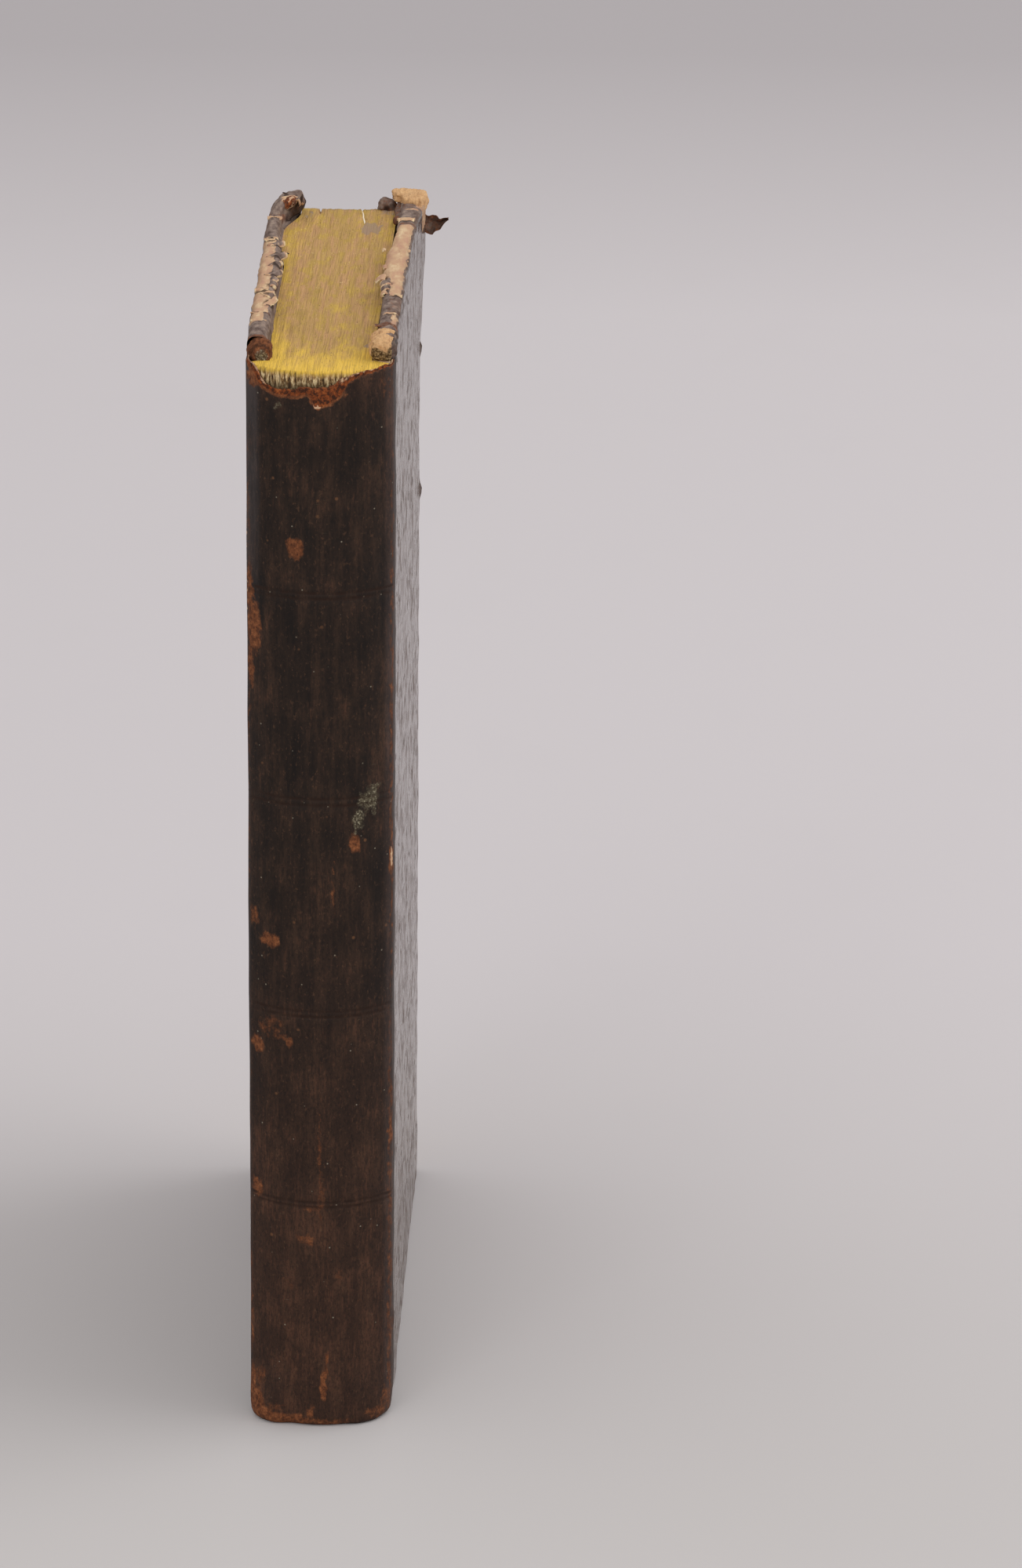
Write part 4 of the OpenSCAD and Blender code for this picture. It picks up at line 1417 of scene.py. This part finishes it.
@dataclass
class Leaves:
    """The text block: folded gatherings behind, cut edges at head, tail and fore edge."""

    smudges: tuple[tuple[float, float, float, float, float], ...] = (
        (4.6, 101.5, 2.6, 4.5, 1.0), (8.2, 13.0, 1.6, 3.0, 0.8), (-7.9, 112, 1.5, 5, 0.5),
        (7.6, 116, 2.0, 5.0, 0.6),
    )
    fold_steps: tuple[float, ...] = (0.0, 0.1, 0.25, 0.5, 0.75, 0.9)
    columns: list[tuple[float, float, float, float]] = field(default_factory=list)

    def plan_columns(self) -> None:
        """Sets the columns across the leaves: share of the thickness, back X and Y, gap's depth."""
        plan = PLAN
        inset = plan.leather_t + 0.05
        shoulder_r = plan.shoulder_r - inset
        for i in range(7):
            x, y = arc(-plan.flank, plan.shoulder_y, shoulder_r,
                       lerp(180, 269 - plan.spread, i / 6))
            self.columns.append((-1 + 0.09 * i / 6, x, y, 0.0))
        folds = plan.gatherings

        def stray(gathering: int) -> float:
            """How far the start of a gathering lies off its even place."""
            return 0.16 * wobble(gathering * 1.7, 0, 0, 150) if 0 < gathering < folds else 0.0

        for i in range(folds * len(self.fold_steps) + 1):
            gathering, step = divmod(i, len(self.fold_steps))
            within = self.fold_steps[step]
            shift, next_shift = stray(gathering), stray(gathering + 1)
            share = (gathering + shift + within * (1 + next_shift - shift)) / folds
            share = min(max(share, 0.0), 1.0)
            depth = (1 - math.sin(math.pi * within)) ** 1.5
            tall = 0.12 * wobble(gathering * 2.3, 4, 0, 151)
            radius = plan.spine_r - inset - 0.2 * depth + tall * (1 - depth)
            x, y = arc(0, plan.spine_c, radius, 270 + plan.spread * (2 * share - 1))
            self.columns.append((lerp(-0.91, 0.91, share), x, y, depth))
        for i in range(1, 7):
            x, y = arc(plan.flank, plan.shoulder_y, shoulder_r, lerp(271 + plan.spread, 360, i / 6))
            self.columns.append((lerp(0.91, 1, i / 6), x, y, 0.0))

    def fan(self, place: float, y: float, z: float) -> float:
        """How far the leaves lean over to the back cover, which stands a little open."""
        room = 0.09 + 0.0079 * max(0.0, y - PLAN.joint_y)
        over = 1.3 * ease(72, 84, y)
        room += ease(194.7, 195.5, z) * (0.2 + 0.3 * ease(10, 30, y) + over) * ease(4, 10, y)
        return room * max(0.0, -place) ** 2.4 * ease(113, 99, y) * ease(2, 6, y)

    def along_leaf(self, column: tuple[float, float, float, float], share: float,
                   z: float) -> tuple[float, float]:
        """Plan place of a leaf at a share of its way to the fore edge, at a height."""
        place, back_x, back_y, _ = column
        knee_x = PLAN.text_half * place
        knee_y = 3.2 + 2.0 * (1 - place * place)
        fore_x = PLAN.fore_half * place
        fore_y = PLAN.text_fore - PLAN.fore_hollow * (1 - place * place)
        fore_y += 0.16 * wobble(place * 60, 0, z / 50, 160)
        fore_y += 0.1 * wobble(place * 11, 0, z / 30, 161)
        if share < 0.1:
            near = share / 0.1
            curve = near * near * (1 - abs(place)) + near * abs(place)
            return lerp(back_x, knee_x, curve), lerp(back_y, knee_y, near)
        far = (share - 0.1) / 0.9
        y = lerp(knee_y, fore_y, far)
        return lerp(knee_x, fore_x, far) - self.fan(place, y, z), y

    def head_height(self, place: float, x: float, y: float, gap: float, share: float) -> float:
        """Height of the head of the leaves at a place."""
        z = PLAN.head_at(y) + 0.09 * wobble(place * 75, y / 45, 0, 170)
        z += 0.13 * wobble(place * 9, y / 30, 0, 171)
        z -= (0.12 * gap + 0.08) * ease(0.02, 0.0, share) - 0.45 * ease(88, 116, y)
        z += 0.34 * ease(26, 0, y)
        z -= 0.6 * ease(0.3, 0.08, abs(x + 5.6)) * ease(113, 114.5, y)
        crack = abs(x - along(CRACK, y))
        if y > 105:
            z -= 0.4 * ease(0.3, 0.05, crack) * ease(105, 108, y)
        return z

    def masks_at(self, x: float, y: float, head: bool) -> Masks:
        """Stains and smudges on the cut edges."""
        stain = 0.85 - ease(-5, 24, y) * 0.75 + 0.27 * ease(4.5, 8.8, abs(x))
        stain += 0.15 * ease(40, 10, y) * ease(4.5, 8.8, abs(x))
        stain += 0.3 * wobble(x / 4, y / 28, 0, 180)
        smudge = 0.0
        if head:
            for sx, sy, rx, ry, strength in self.smudges:
                reach = math.hypot((x - sx) / rx, (y - sy) / ry)
                reach += 0.5 * wobble(x / 1.3, y / 3.0, 0, 181)
                smudge = max(smudge, strength * ease(1.2, 0.5, reach))
        return {"stain": stain, "smudge": smudge}

    def draw(self, edges: Material, paper: Material) -> Object:
        """Makes the text block."""
        self.plan_columns()
        draft = Draft("leaves")
        shares = [0, 0.012, 0.03, 0.05, 0.075, 0.1] + [0.1 + 0.9 * (i / 60) for i in range(1, 61)]
        caps: list[list[list[int]]] = []
        for head in (True, False):
            cap = []
            for column in self.columns:
                lane = []
                for share in shares:
                    x, y = self.along_leaf(column, share, PLAN.head_z if head else PLAN.tail_z)
                    gap = column[3]
                    z = self.head_height(column[0], x, y, gap, share) if head else PLAN.tail_z
                    masks = self.masks_at(x, y, head)
                    # Painted shade in the notches between gatherings at the spine end of the head
                    tick = max(0.0, 0.3 + 1.1 * wobble(column[0] * 19, 3, 0, 186))
                    masks["gap"] = gap * tick * ease(0.006, 0.0, share) if head else 0.0
                    lane.append(draft.point(x, y, z, masks))
                cap.append(lane)
            caps.append(cap)
        draft.sheet(caps[0], 0, flip=True)
        draft.sheet(caps[1], 0)
        back_rows = [6, 40, 80, 120, 155, 175, 186, 188.5] + spread_evenly(189.5, 195.4, 0.45)
        self.draw_wall(draft, caps, 0, back_rows, False)
        self.draw_wall(draft, caps, -1, spread_evenly(5, 194, 3.2), True)
        for column, flip in ((0, True), (-1, False)):
            self.draw_flank(draft, caps, column, flip)
        return draft.build(edges, paper)

    def draw_wall(self, draft: Draft, caps: list[list[list[int]]], row: int,
                  heights: Sequence[float], fore: bool) -> None:
        """Adds the wall of folds at the back or of cut leaves at the fore edge."""
        lanes = []
        share = 1.0 if fore else 0.0
        for k, column in enumerate(self.columns):
            lane = [caps[1][k][row]]
            for z in heights:
                x, y = self.along_leaf(column, share, z)
                if fore:
                    masks = self.masks_at(x, 20, False)
                else:
                    # Painted shade in the fold gaps, and darker towards the torn leather below
                    low = 0.72 * ease(195.4 + 0.9 * wobble(column[0] * 24, 0, 0, 187), 193.2, z)
                    masks = {"fold": 1.0, "gap": max(0.8 * column[3] ** 2, low)}
                    y += 0.1 * wobble(column[0] * 30, 0, z / 1.5, 185) if z > 188 else 0.0
                lane.append(draft.point(x, y, z, masks))
            lane.append(caps[0][k][row])
            lanes.append(lane)
        draft.sheet(lanes, 0, flip=not fore)

    def draw_flank(self, draft: Draft, caps: list[list[list[int]]], column: int,
                   flip: bool) -> None:
        """Adds the outer leaf on one side."""
        heights = spread_evenly(6, 194.6, 5) + [194.6, 195.0, 195.4]
        lanes = []
        for i in range(len(caps[0][column])):
            low, high = caps[1][column][i], caps[0][column][i]
            x, y, _ = draft.points[low]
            flare = draft.points[high][0] - x
            bend = [0.05 * wobble(0, y / 20, z / 22, 190 + column) for z in heights]
            inwards = -1 if x > 0 else 1
            ring = [draft.point(x + flare * ease(194.7, 197.0, z) + inwards * abs(b), y, z, {})
                    for z, b in zip(heights, bend)]
            lanes.append([low] + ring + [high])
        draft.sheet(lanes, 1, flip=flip)

    def draw_loose_leaf(self, paper: Material) -> Object:
        """Makes the pale edge of a leaf that stands in the opening between the leaves."""
        draft = Draft("loose_leaf")
        lanes = []
        for i in range(15):
            y = lerp(106.0, 118.2, i / 14)
            x = along(CRACK, y) + 0.05 * math.sin(i * 0.9)
            top = PLAN.head_at(y) + 0.42 * math.sin(math.pi * i / 14) ** 0.5 - 0.02
            lane = [draft.point(x + dx, y, z, {}) for dx, z in
                    ((-0.17, top - 2.5), (-0.15, top - 0.1), (0.0, top), (0.15, top - 0.1),
                     (0.17, top - 2.5))]
            lanes.append(lane)
        draft.sheet(lanes)
        return draft.build(paper)


def book_covers() -> tuple[FrontCover, BackCover]:
    """The two covers with the wear that each of them shows."""
    front = FrontCover(
        side=Side.FRONT, splay=0.25, swell=1.2, bare_fore=0.95,
        recess=((8, 0.0), (20, 0.15), (36, 0.0), (46, -0.55), (58, -0.75), (72, -0.95),
                (77, -0.35), (90, 0.1), (98, 0)),
        spans=tuple(WornSpan(*row) for row in (
            (19.2, 20.4, 0.8, 3.6, 0.9), (33.5, 50, 1.4, 3.5, 0.85), (47, 90.5, -2, 3.5, 1.0),
            (94.4, 96.0, -1, 3.0, 0.9), (103.4, 104.6, 1.2, 3.4, 0.7), (12, 19, 2.4, 3.6, 0.6),
        )),
        rust_spans=tuple(WornSpan(*row) for row in (
            (9.5, 12.4, -2, 5, 0.8), (20, 34, 1.4, 3.8, 0.48), (90.6, 92.2, 0.5, 5, 0.8),
            (104, 108, 0.5, 3, 0.5),
        )),
        flakes=tuple(Flake(*row) for row in (
            (0.6, 47.8, 199.6, 2.2, 3.6, 180, 25, 110, 0.9),
            (1.3, 43.0, 199.7, 2.6, 3.2, 200, 60, 210), (1.1, 39.2, 199.7, 2.3, 3.2, 195, 55, 210),
            (0.9, 35.8, 199.7, 1.8, 2.6, 190, 50, 180, 0.6),
            (3.2, 61.5, 199.5, 0.9, 1.8, 20, 30, 90, 0.9),
            (0.1, 71.4, 199.4, 1.2, 1.3, 180, 40, 160, 0.9),
            (3.3, 70.5, 199.4, 0.9, 2.0, 10, 30, 80, 0.9),
            (2.6, 33.4, 199.8, 1.0, 2.6, 275, 30, 120, 0.9),
            (2.2, 19.8, 199.8, 1.1, 2.2, 270, 30, 120, 0.9),
            (1.9, 95.4, 199.8, 2.0, 3.4, 268, 30, 110, 1.0, 0.0, 0.4),
            (1.6, 11.4, 199.8, 1.6, 3.6, 262, 25, 60, 0.1, 0.7),
            (1.5, -0.9, 196.3, 1.1, 3.6, 268, -35, 30, 1.2),
            (0.6, 58.0, 199.4, 0.8, 3.0, 182, 10, 90, 0.9),
        )),
    )
    back = BackCover(
        side=Side.BACK, splay=0.6, corner_dip=1.7,
        bulge=((2, 0.0), (10, 0.1), (18, 0.35), (32, 0.5), (45, 0.6), (57, 0.75), (78, 0.9),
               (98, 1.0), (106, 0.6), (112, 0.1), (117, 0.0)),
        recess=((2, 0.1), (10, 0.3), (40, 0.3), (60, 0.35), (70, 0.6), (76, 0.9), (82, 1.7),
                (90, 2.1), (98, 2.0), (104, 1.0), (110, 0.2), (117, 0.0)),
        spans=tuple(WornSpan(*row) for row in (
            (12.6, 18.6, 1.4, 5, 0.8), (19.2, 36.0, 0.9, 5, 1.0), (37.6, 77, 1.4, 5, 1.0),
            (3, 26, -2, 0.3, 0.45),
        )),
        rust_spans=tuple(WornSpan(*row) for row in (
            (84, 96, 2.8, 5, 0.45), (97, 120, -2, 6, 0.62), (-2, 2.5, -2, 6, 0.9),
            (18.4, 19.4, 0.5, 5, 0.9), (28, 64, -2, 0.9, 0.5),
        )),
        flakes=tuple(Flake(*row) for row in (
            (2.6, 18.8, 199.8, 0.9, 2.8, 88, 20, 70, 0.9),
            (2.2, 14.0, 199.8, 0.9, 3.0, 280, 15, 70, 0.9),
            (1.1, 28.0, 199.7, 1.3, 7.0, 196, 20, 110, 0.9),
            (1.4, 32.6, 199.7, 2.3, 3.0, 205, 55, 220),
            (2.7, 37.0, 199.8, 1.5, 2.6, 268, 40, 160, 0.9),
            (1.4, 40.8, 199.7, 2.9, 3.2, 182, 65, 250, 0.3),
            (1.7, 35.0, 199.7, 1.2, 3.0, 225, 30, 150, 0.9),
            (1.3, 50.5, 199.7, 1.8, 5.0, 212, 30, 150), (1.4, 57.5, 199.7, 1.9, 4.0, 205, 35, 190),
            (1.3, 65.0, 199.7, 2.1, 5.5, 212, 30, 160),
            (1.6, 74.0, 199.7, 1.7, 4.5, 216, 35, 150, 0.4),
            (2.6, 77.2, 199.8, 1.2, 2.2, 256, 25, 100, 0.9),
            (2.0, 78.4, 199.8, 1.1, 2.4, 268, 25, 100, 0.9),
            (0.5, 71.5, 198.6, 1.6, 0.9, 184, 8, 30, 0.0, 0.3, 0.2, 0.35, 0.9),
            (2.4, 95.6, 199.9, 1.3, 3.4, 276, 25, 110, 0.6, 0.4),
            (1.1, 45.6, 199.7, 1.2, 2.6, 190, 30, 120, 0.3),
            (-0.8, 106.5, 201.2, 2.8, 3.4, 184, 20, 165, 0.0, 0.4, 0.3, 0.5),
            (-0.2, 104.8, 201.1, 1.7, 2.4, 186, 45, 200, 0.0, 0.8, 0.3, 0.5),
            (1.2, 104.2, 200.9, 1.5, 1.8, 215, 40, 160, 0.1, 0.5, 0.3, 0.5),
            (0.3, 107.0, 201.6, 1.5, 2.2, 170, 45, 170, 0.0, 0.4, 0.3, 0.5),
            (0.4, 106.0, 201.8, 1.5, 0.5, 10, 16, -10, 0.0, 0.2, 0.22, 0.3, 0.7),
            (-1.4, 105.4, 200.0, 2.5, 0.6, 184, 40, -70, 0.0, 0.2, 0.22, 0.3, 0.8),
            (3.4, 96.4, 199.8, 1.3, 1.1, 255, 20, 90, 0.5, 0.6),
            (1.2, 96.6, 199.6, 1.4, 2.2, 250, 20, 80, 0.9, 0.4),
        )),
    )
    return front, back


@dataclass(frozen=True)
class Studio:
    """The camera, the floor and the soft light."""

    camera_at: Point = (0.047309, -1.046182, 0.442976)
    turn: float = -0.934
    tilt: float = 18.034
    roll: float = 0.515
    lens: float = 135.87
    book_middle: Vector = Vector((0, 0, 0.08)).freeze()

    def set_camera(self) -> None:
        """Adds the camera at the photograph's place."""
        turn, tilt, roll = (math.radians(a) for a in (self.turn, self.tilt, self.roll))
        flat = math.cos(tilt)
        ahead = Vector((math.sin(turn) * flat, math.cos(turn) * flat, -math.sin(tilt)))
        right = Vector((math.cos(turn), -math.sin(turn), 0))
        up = right.cross(ahead)
        right_rolled = right * math.cos(roll) + up * math.sin(roll)
        up_rolled = up * math.cos(roll) - right * math.sin(roll)
        camera = add_object("camera", bpy.data.cameras.new("camera"))
        camera.data.lens = self.lens
        camera.data.sensor_width = 36
        camera.data.clip_end = 20
        axes = Matrix((right_rolled, up_rolled, -ahead)).transposed()
        camera.matrix_world = Matrix.Translation(self.camera_at) @ axes.to_4x4()
        bpy.context.scene.camera = camera

    def add_floor(self) -> None:
        """Lays the backdrop paper."""
        mesh = bpy.data.meshes.new("floor")
        mesh.from_pydata([(-6, -4, 0), (6, -4, 0), (6, 8, 0), (-6, 8, 0)], [], [(0, 1, 2, 3)])
        mesh.materials.append(Floor().make())
        add_object("floor", mesh)

    def add_lamp(self, name: str, at: Point, size: float, power: float) -> None:
        """Adds a square soft lamp that faces the book."""
        lamp = bpy.data.lights.new(name, "AREA")
        lamp.size = size
        lamp.energy = power
        holder = add_object(name, lamp)
        holder.location = at
        way = self.book_middle - Vector(at)
        holder.rotation_euler = way.to_track_quat("-Z", "Y").to_euler()

    def light(self) -> None:
        """Sets the world and the lamps."""
        world = bpy.data.worlds.new("studio")
        world.use_nodes = True
        bpy.context.scene.world = world
        background = world.node_tree.nodes["Background"]
        background.inputs["Color"].default_value = (1.0, 0.985, 0.98, 1.0)
        background.inputs["Strength"].default_value = 0.8
        self.add_lamp("key", (1.25, 0.12, 1.15), 1.45, 11.0)
        self.add_lamp("front", (-0.4, -1.6, 1.1), 1.2, 8.0)
        bpy.context.scene.view_settings.view_transform = "Standard"


def dress_node(name: str, finish: Material) -> None:
    """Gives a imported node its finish."""
    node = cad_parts[name]
    if not node.data.materials:
        node.data.materials.append(finish)
    for held in node.material_slots:
        held.link = "OBJECT"
        held.material = finish


def carry(piece: Object, body: str, slot: str, *nodes: str) -> None:
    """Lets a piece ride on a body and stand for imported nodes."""
    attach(piece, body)
    if nodes:
        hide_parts(*nodes)
    log.info("%s: %d faces on %s", piece.name, len(piece.data.polygons), body)


def dress_book() -> None:
    """Builds all pieces of the book in order."""
    leather, edges, board = Leather().make(), LeafEdges().make(), Pasteboard().make()
    paper = OldPaper().make()
    lining = OldPaper("lining_paper", shade(206, 190, 152), shade(180, 160, 120)).make()
    hemp = Hemp().make()

    leaves = Leaves()
    carry(leaves.draw(edges, paper), "book_block", "pages", "text_block")
    pale = OldPaper("pale_paper", shade(244, 234, 214), shade(228, 208, 176)).make()
    carry(leaves.draw_loose_leaf(pale), "book_block", "pages")
    spine = Spine()
    carry(spine.draw_skin(leather), "book_block", "leather", "spine_leather")

    front, back = book_covers()
    for cover in (front, back):
        carry(cover.draw_leather(leather), cover.body, "leather", f"{cover.name}_leather")
        carry(cover.draw_flakes(leather), cover.body, "leather")
        core = [board, leather] if cover is front else [leather]
        carry(cover.draw_near_end(*core), cover.body, "pasteboard" if cover is front else "leather")
        strip = spine.draw_joint(cover, leather)
        side = cover.side.value
        start = PLAN.to_model(side * PLAN.half_t, spine.limb_y, 100)
        cover.body
        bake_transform(strip)
        log.info("%s: %d faces between book_block and %s", strip.name, len(strip.data.polygons),
                 cover.body)
        carry(cover.draw_board(board), cover.body, "pasteboard", f"{cover.name}_board")
        dress_node(f"{cover.name}_pastedown", lining)
    carry(back.draw_corner_roll(leather), back.body, "leather")
    carry(front.draw_bare_corner(board), front.body, "pasteboard")
    carry(front.draw_knob(leather), front.body, "leather")
    carry(front.draw_inner_wall(leather), front.body, "leather")
    carry(front.draw_ear(leather), front.body, "leather")
    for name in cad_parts:
        if "cord" in name or "slip" in name:
            dress_node(name, hemp)


def main() -> None:
    """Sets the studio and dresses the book."""
    logging.basicConfig(level=logging.INFO, format="%(message)s")
    studio = Studio()
    studio.set_camera()
    studio.add_floor()
    studio.light()
    dress_book()


if __name__ == "__main__":
    main()
